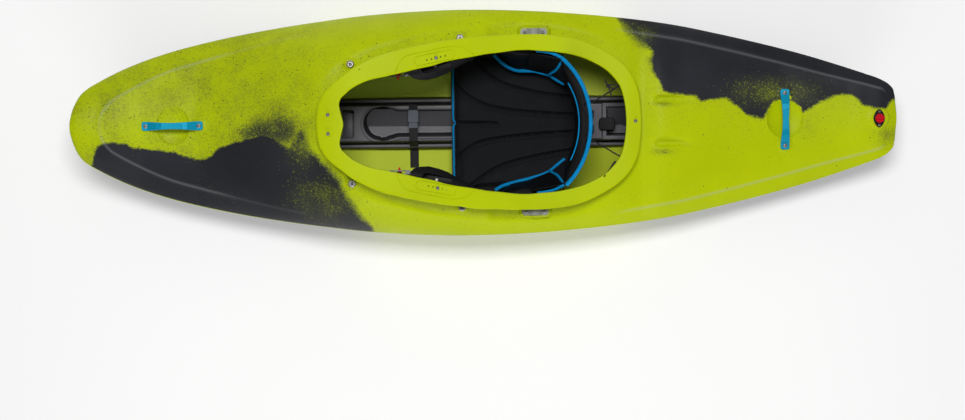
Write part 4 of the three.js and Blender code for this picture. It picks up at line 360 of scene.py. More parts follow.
def bevel_edges(piece, width, angle):
    """Rounds the edges of a piece that are sharper than an angle in degrees."""
    edge = piece.modifiers.new("Edges", "BEVEL")
    edge.width = width
    edge.segments = 2
    edge.limit_method = "ANGLE"
    edge.angle_limit = math.radians(angle)


def finish_cad(node, finish, bevel):
    """Gives a carried-over CAD node its material, welded corners and fine rounded edges."""
    piece = frame["nodes"][node]
    piece.data.materials.clear()
    piece.data.materials.append(material(finish))
    piece.modifiers.new("Weld", "WELD").merge_threshold = 0.00002
    bevel_edges(piece, bevel, 32)


def carve(bm, cutters):
    """The bmesh with others cut from it."""
    body, *tools = (new_object("tool", mesh_of(shape, "tool")) for shape in [bm] + cutters)
    for tool in tools:
        cut = body.modifiers.new("Cut", "BOOLEAN")
        cut.operation = "DIFFERENCE"
        cut.solver = "MANIFOLD"
        cut.object = tool
    shape = as_modified(body)
    result = bmesh.new()
    result.from_mesh(shape)
    for tool in [body] + tools:
        mesh = tool.data
        bpy.data.objects.remove(tool)
        bpy.data.meshes.remove(mesh)
    bpy.data.meshes.remove(shape)
    if not result.faces:
        raise RuntimeError("a cut left nothing")
    return result


def prism(points, low, high):
    """An upright prism on a flat outline."""
    bm = bmesh.new()
    face = bm.faces.new([bm.verts.new((x, y, low)) for x, y in points])
    top = bmesh.ops.extrude_face_region(bm, geom=[face])["geom"]
    bmesh.ops.translate(bm, vec=(0, 0, high - low),
                        verts=[g for g in top if isinstance(g, bmesh.types.BMVert)])
    bmesh.ops.recalc_face_normals(bm, faces=bm.faces)
    return bm


def turned(profile, steps, place=(0, 0, 0)):
    """A profile of (radius, height) points spun round the upright axis through a place."""
    bm = bmesh.new()
    verts = [bm.verts.new((r, 0, z)) for r, z in profile]
    edges = [bm.edges.new(pair) for pair in zip(verts, verts[1:])]
    bmesh.ops.spin(bm, geom=verts + edges, cent=(0, 0, 0), axis=(0, 0, 1), angle=2 * math.pi, steps=steps,
                   use_merge=True)
    bmesh.ops.remove_doubles(bm, verts=bm.verts, dist=1e-7)
    bmesh.ops.recalc_face_normals(bm, faces=bm.faces)
    bmesh.ops.translate(bm, vec=place, verts=bm.verts)
    return bm


def round_edges(bm, width):
    """Rounds every edge sharper than 30 degrees."""
    sharp = [e for e in bm.edges if len(e.link_faces) == 2 and e.calc_face_angle(0) > math.radians(30)]
    bmesh.ops.bevel(bm, geom=sharp, offset=width, affect="EDGES", segments=2, profile=0.5, material=-1,
                    clamp_overlap=True)
    return bm


def route(points, count):
    """Evenly spread points on a smooth route through the given ones."""
    cuts = [Vector(p) for p in points]
    line = []
    padded = [2 * cuts[0] - cuts[1]] + cuts + [2 * cuts[-1] - cuts[-2]]
    for a, b, c, d in zip(padded, padded[1:], padded[2:], padded[3:]):
        for i in range(24):
            t = i / 24
            line.append(0.5 * (2 * b + (c - a) * t + (2 * a - 5 * b + 4 * c - d) * t * t
                               + (3 * b - a - 3 * c + d) * t ** 3))
    line.append(cuts[-1])
    runs = [0.0]
    for a, b in zip(line, line[1:]):
        runs.append(runs[-1] + (b - a).length)
    spread, i = [], 0
    for k in range(count + 1):
        goal = runs[-1] * k / count
        while i < len(runs) - 2 and runs[i + 1] < goal:
            i += 1
        span = runs[i + 1] - runs[i]
        spread.append(line[i].lerp(line[i + 1], (goal - runs[i]) / span if span else 0))
    return spread


def tube(points, radius, count, sides):
    """A round tube along a smooth route, with rounded ends."""
    spine = route(points, count)

    def place(u, v):
        i = min(int(round(v * count)), count)
        forward = (spine[min(i + 1, count)] - spine[max(i - 1, 0)]).normalized()
        side = forward.cross(Vector((0, 0, 1))).normalized()
        lift = side.cross(forward)
        end = min(v, 1 - v) * count
        size = radius * (1 if end >= 2 else (0.0, 0.72, 1.0)[int(round(end))])
        angle = 2 * math.pi * u
        return spine[i] + side * (math.cos(angle) * size) + lift * (math.sin(angle) * size)

    return grid(sides, count, place)


class Wiring:
    """Adds nodes to a tree and joins them. An input is a number, a colour or another node's output."""

    def __init__(self, tree):
        self.tree = tree

    def add(self, kind, inputs=None, output=0, **settings):
        node = self.tree.nodes.new(kind)
        for name, value in settings.items():
            setattr(node, name, value)
        for name, value in (inputs or {}).items():
            if isinstance(value, bpy.types.NodeSocket):
                self.tree.links.new(value, node.inputs[name])
            else:
                node.inputs[name].default_value = value
        return node.outputs[output]

    def math(self, operation, a, b=0.0):
        return self.add("ShaderNodeMath", {0: a, 1: b}, operation=operation)

    def plus(self, a, b):
        return self.math("ADD", a, b)

    def times(self, a, b):
        return self.math("MULTIPLY", a, b)

    def mix(self, share, a, b):
        return self.add("ShaderNodeMix", {0: share, 6: a, 7: b}, 2, data_type="RGBA")

    def ramp(self, value, low, high, start=0.0, end=1.0):
        return self.add("ShaderNodeMapRange", {0: value, 1: low, 2: high, 3: start, 4: end},
                        interpolation_type="SMOOTHSTEP")

    def noise(self, place, scale, detail=2.0, roughness=0.5):
        return self.add("ShaderNodeTexNoise", {"Vector": place, "Scale": scale, "Detail": detail,
                                               "Roughness": roughness})

    def stretch(self, place, turn, size):
        return self.add("ShaderNodeMapping", {"Vector": place, "Rotation": turn, "Scale": size})

    def attribute(self, name):
        return self.add("ShaderNodeAttribute", output=2, attribute_name=name)

    def group(self, tree, inputs, output=0):
        return self.add("ShaderNodeGroup", inputs, output, node_tree=tree)


def node_group(name, inputs, outputs):
    """An empty shader group with named sockets, its wiring and its two ends."""
    tree = bpy.data.node_groups.new(name, "ShaderNodeTree")
    for label, kind, value in inputs:
        socket = tree.interface.new_socket(label, in_out="INPUT", socket_type="NodeSocket" + kind)
        if value is not None:
            socket.default_value = value
    for label, kind in outputs:
        tree.interface.new_socket(label, in_out="OUTPUT", socket_type="NodeSocket" + kind)
    return Wiring(tree), tree.nodes.new("NodeGroupInput").outputs, tree.nodes.new("NodeGroupOutput").inputs


def handling_marks():
    """Fine crossing scratches and soft rubbed patches, as a mask, a roughness and a height."""
    w, given, result = node_group(
        "Handling marks",
        [("Place", "Vector", None), ("Roughness", "Float", 0.4), ("Amount", "Float", 0.5)],
        [("Marks", "Float"), ("Roughness", "Float"), ("Height", "Float")],
    )
    lines = []
    for turn, size in (((0, 0, 0.5), (18, 700, 300)), ((0.2, 0.1, -0.9), (22, 800, 400))):
        streak = w.noise(w.stretch(given["Place"], turn, size), 1.0, 1.0)
        lines.append(w.ramp(streak, 0.68, 0.76))
    patch = w.ramp(w.noise(given["Place"], 9.0, 3.0), 0.45, 0.7)
    marks = w.times(w.times(w.math("MAXIMUM", *lines), patch), given["Amount"])
    uneven = w.times(w.math("SUBTRACT", w.noise(given["Place"], 28.0, 4.0), 0.5), 0.16)
    rough = w.plus(w.plus(given["Roughness"], uneven), w.times(marks, 0.22))
    w.tree.links.new(marks, result["Marks"])
    w.tree.links.new(rough, result["Roughness"])
    w.tree.links.new(w.times(marks, -0.00003), result["Height"])
    return w.tree


def moulded_skin():
    """The pebbled skin of moulded plastic: a slow waviness under a fine grain."""
    w, given, result = node_group(
        "Moulded skin",
        [("Place", "Vector", None), ("Grain", "Float", 1200.0), ("Depth", "Float", 0.00004)],
        [("Height", "Float"), ("Tone", "Float")],
    )
    fine = w.noise(given["Place"], given["Grain"], 2.0)
    slow = w.noise(given["Place"], 55.0, 2.0)
    height = w.plus(w.times(fine, given["Depth"]), w.times(slow, 0.00025))
    tone = w.plus(w.times(w.noise(given["Place"], 6.0, 4.0), 0.7), w.times(fine, 0.3))
    w.tree.links.new(height, result["Height"])
    w.tree.links.new(tone, result["Tone"])
    return w.tree


def woven_threads():
    """Threads that cross at a pitch: the height of the cloth, and a tone that paints shade where the weave
    lies deep, over a slow change.
    """
    w, given, result = node_group(
        "Woven threads",
        [("Place", "Vector", None), ("Pitch", "Float", 0.0012), ("Depth", "Float", 0.00015)],
        [("Height", "Float"), ("Tone", "Float")],
    )
    count = w.math("DIVIDE", math.pi, given["Pitch"])
    waves = []
    parts = w.tree.nodes.new("ShaderNodeSeparateXYZ")
    w.tree.links.new(given["Place"], parts.inputs[0])
    lifted = w.plus(parts.outputs["X"], w.times(parts.outputs["Z"], 0.7))
    aside = w.plus(parts.outputs["Y"], w.times(parts.outputs["Z"], 0.7))
    for value in (lifted, aside):
        waves.append(w.math("ABSOLUTE", w.math("SINE", w.times(value, count))))
    knot = w.times(*waves)
    # Painted shade: the tone is lighter where the weave stands high and darker where it lies deep, over a
    # slow uneven change
    tone = w.plus(w.times(knot, 0.6), w.times(w.noise(given["Place"], 30.0, 4.0), 0.4))
    w.tree.links.new(w.times(knot, given["Depth"]), result["Height"])
    w.tree.links.new(tone, result["Tone"])
    return w.tree


def shade(colour, factor):
    return tuple(min(max(c * factor, 0), 1) for c in colour[:3]) + (1,)


def start_material(name):
    """A new material with its wiring, its shader and the place that patterns follow."""
    material = bpy.data.materials.new(name + "_finish")
    material.use_nodes = True
    w = Wiring(material.node_tree)
    w.tree.nodes.clear()
    shader = w.tree.nodes.new("ShaderNodeBsdfPrincipled")
    output = w.tree.nodes.new("ShaderNodeOutputMaterial")
    w.tree.links.new(shader.outputs[0], output.inputs[0])
    place = w.add("ShaderNodeTexCoord", output=3)
    return material, w, shader.inputs, place


def finish_material(w, shader, colour, roughness, height, **fixed):
    bump = w.add("ShaderNodeBump", {"Strength": 1.0, "Distance": 1.0, "Height": height})
    w.tree.links.new(colour, shader["Base Color"])
    w.tree.links.new(roughness, shader["Roughness"])
    w.tree.links.new(bump, shader["Normal"])
    for name, value in fixed.items():
        shader[name.replace("_", " ")].default_value = value


def hard_material(name, colour, roughness, groups, grain=1200.0, depth=0.00004, wear=0.4, worn=1.7,
                  shaded=False, **fixed):
    """Moulded plastic, rubber or metal: an uneven tone, a fine grain and handling marks; where shaded is
    set, painted shade darkens the faces that the wall attribute marks.
    """
    _, w, shader, place = start_material(name)
    skin, marks = groups["skin"], groups["marks"]
    pebbles = {"Place": place, "Grain": grain, "Depth": depth}
    tone = w.ramp(w.group(skin, pebbles, 1), 0.3, 0.7)
    rub = {"Place": place, "Roughness": roughness, "Amount": wear}
    base = w.mix(tone, shade(colour, 0.88), shade(colour, 1.1))
    base = w.mix(w.group(marks, rub, 0), base, shade(colour, worn))
    # Painted shade: faces that the wall attribute marks are darkened to a tenth of the colour
    if shaded:
        base = w.mix(w.attribute("wall"), base, shade(colour, 0.1))
    height = w.plus(w.group(skin, pebbles, 0), w.group(marks, rub, 2))
    finish_material(w, shader, base, w.group(marks, rub, 1), height, **fixed)


def cloth_material(name, colour, roughness, groups, pitch=0.0012, depth=0.00012, **fixed):
    """Cloth or webbing: crossing threads with painted shade between them, over a slow change of tone."""
    _, w, shader, place = start_material(name)
    weave, marks = groups["weave"], groups["marks"]
    threads = {"Place": place, "Pitch": pitch, "Depth": depth}
    tone = w.group(weave, threads, 1)
    # Painted shade: the cloth is darker where the weave lies deep
    base = w.mix(w.ramp(tone, 0.1, 0.8), shade(colour, 0.6), shade(colour, 1.25))
    rub = {"Place": place, "Roughness": roughness, "Amount": 0.2}
    finish_material(w, shader, base, w.group(marks, rub, 1), w.group(weave, threads, 0), **fixed)


def hull_material(lime, charcoal, groups):
    """Polyethylene in two colours that were dusted into the mould, so their border is broken into specks."""
    _, w, shader, place = start_material("hull_plastic")
    skin, marks = groups["skin"], groups["marks"]
    edge, spread, dust_and_shade, haze = (w.attribute(n) for n in ("charcoal", "spread", "dust_and_shade", "haze"))
    lobes = w.times(w.math("SUBTRACT", w.noise(place, 38.0, 3.0), 0.5), 0.014)
    ripples = w.times(w.math("SUBTRACT", w.noise(place, 130.0, 3.0), 0.5), 0.007)
    border = w.plus(edge, w.plus(lobes, ripples))
    cover = w.ramp(w.math("DIVIDE", border, spread), -1.0, 1.0)
    cloud = w.ramp(w.noise(place, 20.0, 3.0), 0.36, 0.64, 0.4, 1.0)
    cover = w.times(cover, w.math("SUBTRACT", 1.0, w.times(haze, cloud)))
    # The dust attribute, which also carries painted shade, darkens the lime in drifting clusters
    drift = w.ramp(w.noise(place, 14.0, 4.0), 0.36, 0.66, 0.45, 1.5)
    drift = w.plus(w.times(drift, w.math("SUBTRACT", 1.0, dust_and_shade)), dust_and_shade)
    cover = w.math("MAXIMUM", cover, w.times(dust_and_shade, drift))
    grains = []
    for scale, weight in ((620.0, 0.6), (310.0, 0.4)):
        cell = w.add("ShaderNodeTexVoronoi", {"Vector": place, "Scale": scale}, 1, feature="F1")
        hit = w.math("LESS_THAN", w.add("ShaderNodeSeparateColor", {0: cell}), cover)
        grains.append(w.times(hit, weight))
    dark = w.plus(w.times(w.plus(*grains), 0.42), w.times(cover, 0.58))
    crumbs = w.add("ShaderNodeTexVoronoi", {"Vector": place, "Scale": 190.0}, feature="F1")
    pick = w.add("ShaderNodeTexVoronoi", {"Vector": place, "Scale": 190.0}, 1, feature="F1")
    kept = w.math("LESS_THAN", w.add("ShaderNodeSeparateColor", {0: pick}), w.times(dust_and_shade, 0.16))
    small = w.times(w.math("LESS_THAN", crumbs, 0.3), kept)
    dark = w.math("MAXIMUM", dark, small)
    pebbles = {"Place": place, "Grain": 900.0, "Depth": 0.00004}
    tone = w.ramp(w.group(skin, pebbles, 1), 0.3, 0.7)
    green = w.mix(tone, shade(lime, 0.95), shade(lime, 1.04))
    black = w.mix(tone, shade(charcoal, 0.75), shade(charcoal, 1.15))
    base = w.mix(dark, green, black)
    # Painted highlight: a pale grey line along the deck's creases
    base = w.mix(w.attribute("crease"), base, (0.42, 0.45, 0.46, 1))
    # Painted light: the inside of the hull is lightened towards a pale lime
    base = w.mix(w.attribute("inside"), base, (0.74, 0.88, 0.13, 1))
    rub = {"Place": place, "Roughness": 0.46, "Amount": 0.25}
    base = w.mix(w.times(w.group(marks, rub, 0), 0.5), base, (0.6, 0.62, 0.06, 1))
    height = w.plus(w.group(skin, pebbles, 0), w.group(marks, rub, 2))
    finish_material(w, shader, base, w.group(marks, rub, 1), height, Specular_IOR_Level=0.11)


class KAYAK_OT_finishes(bpy.types.Operator):
    """Build every material of the kayak"""

    bl_idname = "kayak.finishes"
    bl_label = "Finishes"

    def execute(self, context):
        c = context.scene.kayak_colours
        groups = {"marks": handling_marks(), "skin": moulded_skin(), "weave": woven_threads()}
        hull_material(c.lime, c.charcoal, groups)
        brushed = {"grain": 3000.0, "depth": 0.00001}
        hard_material("teal_metal", c.teal, 0.4, groups, grain=2500.0, depth=0.00001, Metallic=0.25,
                      Specular_IOR_Level=0.2)
        hard_material("stainless", (0.4, 0.39, 0.38), 0.5, groups, worn=1.3, Metallic=1.0, **brushed)
        hard_material("dull_metal", (0.15, 0.15, 0.155), 0.45, groups, Metallic=0.9, **brushed)
        hard_material("plate_steel", (0.3, 0.3, 0.28), 0.6, groups, Metallic=0.3, Specular_IOR_Level=0.3,
                      **brushed)
        hard_material("black_plastic", (0.008, 0.008, 0.0095), 0.42, groups, worn=2.2,
                      Specular_IOR_Level=0.16)
        hard_material("tray_plastic", (0.085, 0.083, 0.098), 0.42, groups, worn=1.7, shaded=True)
        hard_material("grey_plastic", (0.05, 0.06, 0.085), 0.4, groups, Specular_IOR_Level=0.35)
        hard_material("red_plastic", c.red, 0.45, groups, wear=0.15, Specular_IOR_Level=0.12)
        hard_material("foam", (0.009, 0.009, 0.011), 0.85, groups, grain=700.0, depth=0.0003, wear=0.15)
        hard_material("rubber", (0.012, 0.012, 0.013), 0.7, groups, worn=2.0)
        cloth_material("neoprene", c.neoprene, 0.75, groups, pitch=0.0011, depth=0.00008,
                       Specular_IOR_Level=0.12)
        cloth_material("gloss_neoprene", shade(c.neoprene, 0.35), 0.6, groups, pitch=0.002, depth=0.00002,
                       Specular_IOR_Level=0.14)
        cloth_material("piping", c.piping, 0.7, groups, pitch=0.001, depth=0.0001, Specular_IOR_Level=0.12)
        cloth_material("webbing", (0.014, 0.014, 0.016), 0.75, groups, pitch=0.0016, depth=0.0003)
        return {"FINISHED"}


def material(name):
    """The material that carries a finish."""
    return bpy.data.materials[name + "_finish"]


# The camera hangs over midships and looks a little to port, so the boat lies in the upper half of the frame
CAMERA_PLACE = (-0.0131, 0, 4.9)
CAMERA_TILT, CAMERA_ROLL, CAMERA_LENS = -2.96, -0.636, 63.05


class KAYAK_OT_camera(bpy.types.Operator):
    """Set the camera at the photograph's viewpoint"""

    bl_idname = "kayak.camera"
    bl_label = "Camera"

    def execute(self, context):
        data = bpy.data.cameras.new("Camera")
        data.lens = CAMERA_LENS
        camera = new_object("Camera", data)
        tilt = Matrix.Rotation(math.radians(CAMERA_TILT), 4, "X")
        roll = Matrix.Rotation(math.radians(CAMERA_ROLL), 4, "Z")
        camera.matrix_world = Matrix.Translation(CAMERA_PLACE) @ tilt @ roll
        context.scene.camera = camera
        return {"FINISHED"}


class KAYAK_OT_studio(bpy.types.Operator):
    """Lay the pale floor and set the soft lights"""

    bl_idname = "kayak.studio"
    bl_label = "Studio"

    def execute(self, context):
        scene = context.scene
        scene.view_settings.view_transform = "Standard"
        floor_finish, w, shader, place = start_material("studio_floor")
        shader["Roughness"].default_value = 0.9
        pale = w.mix(w.noise(place, 0.8, 2.0), (0.86, 0.86, 0.86, 1), (0.88, 0.88, 0.88, 1))
        w.tree.links.new(pale, shader["Base Color"])
        seen = w.tree.nodes.new("ShaderNodeLightPath").outputs
        shown = w.math("MAXIMUM", seen["Is Camera Ray"],
                       w.math("MAXIMUM", seen["Is Glossy Ray"], seen["Is Transmission Ray"]))
        shader["Emission Color"].default_value = (1, 1, 1, 1)
        w.tree.links.new(w.times(shown, 0.2), shader["Emission Strength"])
        bm = bmesh.new()
        bmesh.ops.create_grid(bm, x_segments=1, y_segments=1, size=scene.kayak_sizes.floor_size / 2)
        floor = new_object("studio_floor", mesh_of(bm, "studio_floor"))
        floor.data.materials.append(floor_finish)
        for name, place, size, power in (
            ("Top", (-0.1, 1.6, 5.8), (2.6, 1.5), 215),
            ("Port", (0.0, -4.5, 1.7), (3.6, 1.2), 90),
            ("Starboard", (-0.4, 4.0, 2.6), (3.2, 1.2), 6),
        ):
            data = bpy.data.lights.new(name, "AREA")
            data.shape = "RECTANGLE"
            data.size, data.size_y = size
            data.energy = power
            lamp = new_object(name, data)
            lamp.location = place
            lamp.rotation_euler = (-Vector(place)).to_track_quat("-Z", "Y").to_euler()
        world = bpy.data.worlds.new("Studio")
        world.use_nodes = True
        w = Wiring(world.node_tree)
        w.tree.nodes.clear()
        seen = w.tree.nodes.new("ShaderNodeLightPath").outputs
        strength = w.ramp(seen["Is Camera Ray"], 0.0, 1.0, 0.2, 1.0)
        sky = w.add("ShaderNodeBackground", {"Color": (1, 1, 1, 1), "Strength": strength})
        w.tree.links.new(sky, w.tree.nodes.new("ShaderNodeOutputWorld").inputs[0])
        scene.world = world
        return {"FINISHED"}


# From the backband to the rim and from each ratchet to the backband, as X, Y outwards and Z
CORD_ROUTE = [
    (0.27975, 0.048, 0.2543), (0.28759, 0.0496, 0.2543), (0.32707, 0.0728, 0.2341), (0.36655, 0.096, 0.2341),
    (0.37455, 0.096, 0.2421), (0.37455, 0.096, 0.2501),
]
STRAP_ROUTE = [
    (-0.2445, 0.1465, 0.3076), (-0.2265, 0.1465, 0.3076), (-0.2085, 0.1468, 0.3076),
    (-0.1545, 0.1585, 0.2876), (-0.0738, 0.1872, 0.2508), (0.061, 0.2158, 0.194),
    (0.126, 0.2182, 0.194), (0.191, 0.2158, 0.194), (0.2077, 0.2038, 0.194),
    (0.2165, 0.169, 0.194), (0.2282, 0.1562, 0.194), (0.2401, 0.141, 0.194),
]


class KAYAK_OT_cords(bpy.types.Operator):
    """Run the two elastic cords of the backband and the two toothed tension straps"""

    bl_idname = "kayak.cords"
    bl_label = "Cords and tension straps"

    def execute(self, context):
        radius = context.scene.kayak_sizes.cord / 2
        for name, side in SIDES:
            cord_route = [(x, side * out, z) for x, out, z in CORD_ROUTE]
            line = route(cord_route, 60)
            cord = make_piece("elastic_cord_" + name, tube(cord_route, radius, 60, 16), "webbing",
                              None, ["backband_cord_" + name])
            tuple(cord_route[0])
            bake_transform(cord)
            strap_route = [(x, side * out, z) for x, out, z in STRAP_ROUTE]
            strap = make_piece("tension_strap_piece_" + name, toothed_strap(strap_route),
                               "black_plastic", None, ["tension_strap_" + name])
            line = route(strap_route, 200)
            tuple(strap_route[0])
            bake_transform(strap)
        return {"FINISHED"}


# Once round a strap's section, as shares of its thickness and of its width
STRAP_SECTION = [
    (0.5, 0), (0.5, 0.3), (0.5, 0.42), (0.35, 0.5), (-0.35, 0.5), (-0.5, 0.42), (-0.5, 0.3), (-0.5, 0.1),
    (-0.5, -0.1), (-0.5, -0.3), (-0.5, -0.42), (-0.35, -0.5), (0.35, -0.5), (0.5, -0.42), (0.5, -0.3),
    (0.5, -0.1),
]
TOOTH_HEIGHT = 0.0008


def toothed_strap(points, width=0.012, thick=0.0024, teeth=150):
    """A flat strap on edge along a route, with a row of ratchet teeth on its outer face."""
    count = teeth * 3
    spine = route(points, count)

    def place(u, v):
        i = min(int(round(v * count)), count)
        forward = (spine[min(i + 1, count)] - spine[max(i - 1, 0)]).normalized()
        aside = forward.cross(Vector((0, 0, 1))).normalized()
        tooth = (0.0, 0.45, 0.9)[i % 3] * TOOTH_HEIGHT
        y, z = STRAP_SECTION[round(u * len(STRAP_SECTION)) % len(STRAP_SECTION)]
        inner = tooth if y > 0.4 and abs(z) < 0.35 else 0
        return spine[i] + aside * (y * thick - inner) + Vector((0, 0, z * width))

    return grid(len(STRAP_SECTION), count, place)


def distance_to(points, line):
    """How far each flat point lies from a line of points."""
    nearest = np.full(len(points), 9.0)
    for a, b in zip(line, line[1:]):
        a, b = np.array(a), np.array(b)
        run = b - a
        t = np.clip(((points - a) @ run) / (run @ run), 0, 1)
        nearest = np.minimum(nearest, np.linalg.norm(points - (a + t[:, None] * run), axis=1))
    return nearest


def depth_inside(points, edge, corners):
    """Signed distance from an edge line: positive on the side that the corners close off."""
    ring = edge + corners
    inside = np.zeros(len(points), bool)
    for (x0, y0), (x1, y1) in zip(ring, ring[1:] + ring[:1]):
        if y0 == y1:
            continue
        crosses = (points[:, 1] < y0) != (points[:, 1] < y1)
        inside ^= crosses & (points[:, 0] < x0 + (points[:, 1] - y0) * (x1 - x0) / (y1 - y0))
    return np.where(inside, 1, -1) * distance_to(points, edge)


def soft_step(low, high, values):
    t = np.clip((values - low) / (high - low), 0, 1)
    return t * t * (3 - 2 * t)


def store(mesh, name, values):
    """Keeps a number at each point of a mesh for its material."""
    mesh.attributes.new(name, "FLOAT", "POINT").data.foreach_set("value", values)


def paint_plain(mesh):
    """Stores plain lime all over."""
    for name, value in (("charcoal", -0.5), ("spread", 0.01), ("dust_and_shade", 0), ("haze", 0)):
        store(mesh, name, np.full(len(mesh.vertices), value))


# Marks on the deck as strength, X, Y, length and width: loose charcoal dust, then lime haze over charcoal
DUST_MARKS = [
    (0.78, -0.572, -0.01, 0.07, 0.048), (0.35, -0.655, -0.02, 0.05, 0.025), (0.08, -0.8, 0.1, 0.1, 0.09),
    (0.1, -1.05, 0.05, 0.05, 0.06), (0.35, 0.49, 0.045, 0.025, 0.005), (0.35, 0.485, -0.085, 0.03, 0.008),
    (0.32, 1.12, -0.045, 0.03, 0.03), (0.1, 0.9, -0.02, 0.03, 0.03),
]
HAZE_MARKS = [
    (0.14, -0.44, -0.205, 0.075, 0.05), (0.3, -0.505, -0.04, 0.03, 0.05), (0.24, 0.8, 0.075, 0.09, 0.03),
    (0.25, 0.41, 0.24, 0.04, 0.025),
]
# A point whose face looks towards this height amidships is inside, for the paint and for the painted light
# on the inside
PAINT_MIDDLE, PAINTED_LIGHT_MIDDLE = 0.16, 0.17


def xyz(source, label):
    """X, Y and Z of a vector that a mesh keeps for each of its points."""
    values = np.empty(len(source) * 3)
    source.foreach_get(label, values)
    return values.reshape(-1, 3).T


def paint_depth(x, y, z, on_deck):
    """How deep each point lies in the charcoal, from the borders on the decks and on both sides."""
    plan, side_view = np.stack([x, y], 1), np.stack([x, z], 1)
    deck_paint = np.maximum(depth_inside(plan, BOW_EDGE, [(-0.31, -0.6), (-1.3, -0.6), (-1.3, -0.14)]),
                            depth_inside(plan, STERN_EDGE, [(1.3, 0.06), (1.3, 0.6), (0.37, 0.6)]))
    port = np.maximum(depth_inside(side_view, PORT_BOW_SIDE, [(-1.3, -0.1), (-1.3, 0.4)]),
                      depth_inside(side_view, PORT_STERN_SIDE, [(1.3, 0.16), (1.3, -0.2), (0.36, -0.2)]))
    starboard = np.maximum(depth_inside(side_view, STARBOARD_BOW_SIDE, [(-1.3, -0.05), (-1.3, 0.21)]),
                           depth_inside(side_view, STARBOARD_STERN_SIDE, [(1.3, 0.3), (1.3, -0.1)]))
    across = soft_step(-0.12, 0.12, y)
    return np.where(on_deck, deck_paint, port * (1 - across) + starboard * across)


def paint_hull(mesh):
    """Stores what the hull's material needs at each point: charcoal, dust with painted shade, haze, a
    painted highlight on the creases and painted light on the inside.
    """
    x, y, z = xyz(mesh.vertices, "co")
    table = np.linspace(BOW, STERN, 600)
    on_deck = z > np.interp(x, table, [sheer(v) for v in table]) - 0.0005
    paint = paint_depth(x, y, z, on_deck)
    spread = 0.006 + 0.01 * soft_step(-0.6, -0.56, x) * (1 - soft_step(-0.36, -0.3, x)) * (y < 0.03)
    spread += 0.017 * soft_step(0.36, 0.4, x) * (1 - soft_step(0.43, 0.47, x)) * on_deck * (y > 0.05)
    spread += 0.03 * (~on_deck) * (y < 0) * soft_step(0.3, 0.38, x) * (1 - soft_step(0.7, 0.76, x))

    def mark(strength, cx, cy, wide, high):
        return strength * np.exp(-((x - cx) / wide) ** 2 - ((y - cy) / high) ** 2) * on_deck

    near, close = 1 - soft_step(0, 0.16, -paint), 1 - soft_step(0, 0.05, -paint)
    bow, star = 1 - soft_step(-0.56, -0.36, x), soft_step(-0.02, 0.06, y)
    # Dust lies thicker towards the bow and on the starboard deck; the starboard share is painted shade as
    # well as dust
    dust_and_shade = (0.06 + 0.06 * star) * bow + 0.04 * star * (1 - soft_step(0.1, 0.45, x)) + 0.008
    dust_and_shade += near * (0.04 * bow + 0.02) + close * (0.07 * bow + 0.04)
    dust_and_shade += sum(mark(*row) for row in DUST_MARKS)
    # Painted shade in the rim's gutter, carried with the dust
    gutter_shade = np.array([gutter(*spot) for spot in zip(x.tolist(), y.tolist())]) / 0.0075
    dust_and_shade += 0.1 * gutter_shade * (0.5 + 0.5 * star)
    dust_and_shade = np.minimum(dust_and_shade, 0.85) * on_deck * (1 - mark(0.8, 0.835, 0, 0.05, 0.05))
    haze = sum(mark(*row) for row in HAZE_MARKS)
    haze += 0.42 * np.exp(-((x + 0.4) / 0.045) ** 2) * (y < 0) * ~on_deck
    past_cockpit = (np.abs(x + 0.07) > 0.4) & on_deck
    # Painted highlight along the deck's creases past the cockpit, a little weaker on charcoal than on lime
    crease = np.array([crease_line(a, abs(b)) if seen else 0 for a, b, seen in
                       zip(x.tolist(), y.tolist(), past_cockpit.tolist())])
    _, sideways, upwards = xyz(mesh.vertex_normals, "vector")
    bare, lit_inside = ((middle - z) * upwards - y * sideways > 0 for middle in (PAINT_MIDDLE, PAINTED_LIGHT_MIDDLE))
    paint, dust_and_shade = np.where(bare, -0.5, paint), np.where(bare, 0, dust_and_shade)
    # Painted light on the inside: the cockpit's inner faces are lightened, most on the starboard side and
    # less towards the rear
    lift = (1 - soft_step(0.36, 0.46, np.abs(x + 0.02))) * (0.3 + 0.7 * soft_step(0.02, 0.14, y))
    lift *= 1 - 0.5 * soft_step(0.24, 0.32, x)
    for name, values in (("charcoal", paint), ("spread", spread), ("dust_and_shade", dust_and_shade), ("haze", haze),
                         ("crease", crease * np.where(paint > 0, 0.2, 0.25)), ("inside", lit_inside * lift)):
        store(mesh, name, values)


BOW_HANDLE = (-0.869, 0)
STERN_HANDLE = (0.835, 0)
BOW_PADS = [(-0.9425, 0), (-0.7955, 0)]
STERN_PADS = [(0.835, -0.0735), (0.835, 0.0735)]
GROOVE_FRONT, GROOVE_LENGTH, GROOVE_OUT, GROOVE_WIDTH, GROOVE_DEPTH = 0.456, 0.129, 0.0595, 0.025, 0.012
DISHES = (BOW_HANDLE, 0.93, 1.08), (STERN_HANDLE, 1.03, 1.06)
DISH_ROWS = [
    (0.1, -1), (0.3, -0.95), (0.5, -0.85), (0.65, -0.72), (0.78, -0.56), (0.88, -0.41), (0.95, -0.26),
    (0.985, -0.14), (1.0, 0.01), (1.02, 0.6), (1.02, 2.4),
]


def rim_gap(x, y):
    """How far a point of the deck lies outside the rim."""
    dx = x - RIM_MIDDLE
    return math.hypot(dx, y) - rim_radius(math.atan2(y, dx))


def dish_reach(x, y, centre, wide, long):
    """How far a point lies from a dish's middle, as a share of the dish's own reach."""
    return math.hypot((x - centre[0]) / wide, (y - centre[1]) / long)


def groove_share(x, y):
    """How much of the groove's depth is cut at a point of the deck behind the cockpit."""
    u = (x - GROOVE_FRONT) / GROOVE_LENGTH
    if not 0 < u < 1:
        return 0
    width = GROOVE_WIDTH / 2 * (1 - 0.25 * u)
    across = abs(abs(y) - GROOVE_OUT) / width
    if across >= 1:
        return 0
    return step(0, 0.16, u) * (1 - step(0.35, 1, u)) * (1 - across ** 4)


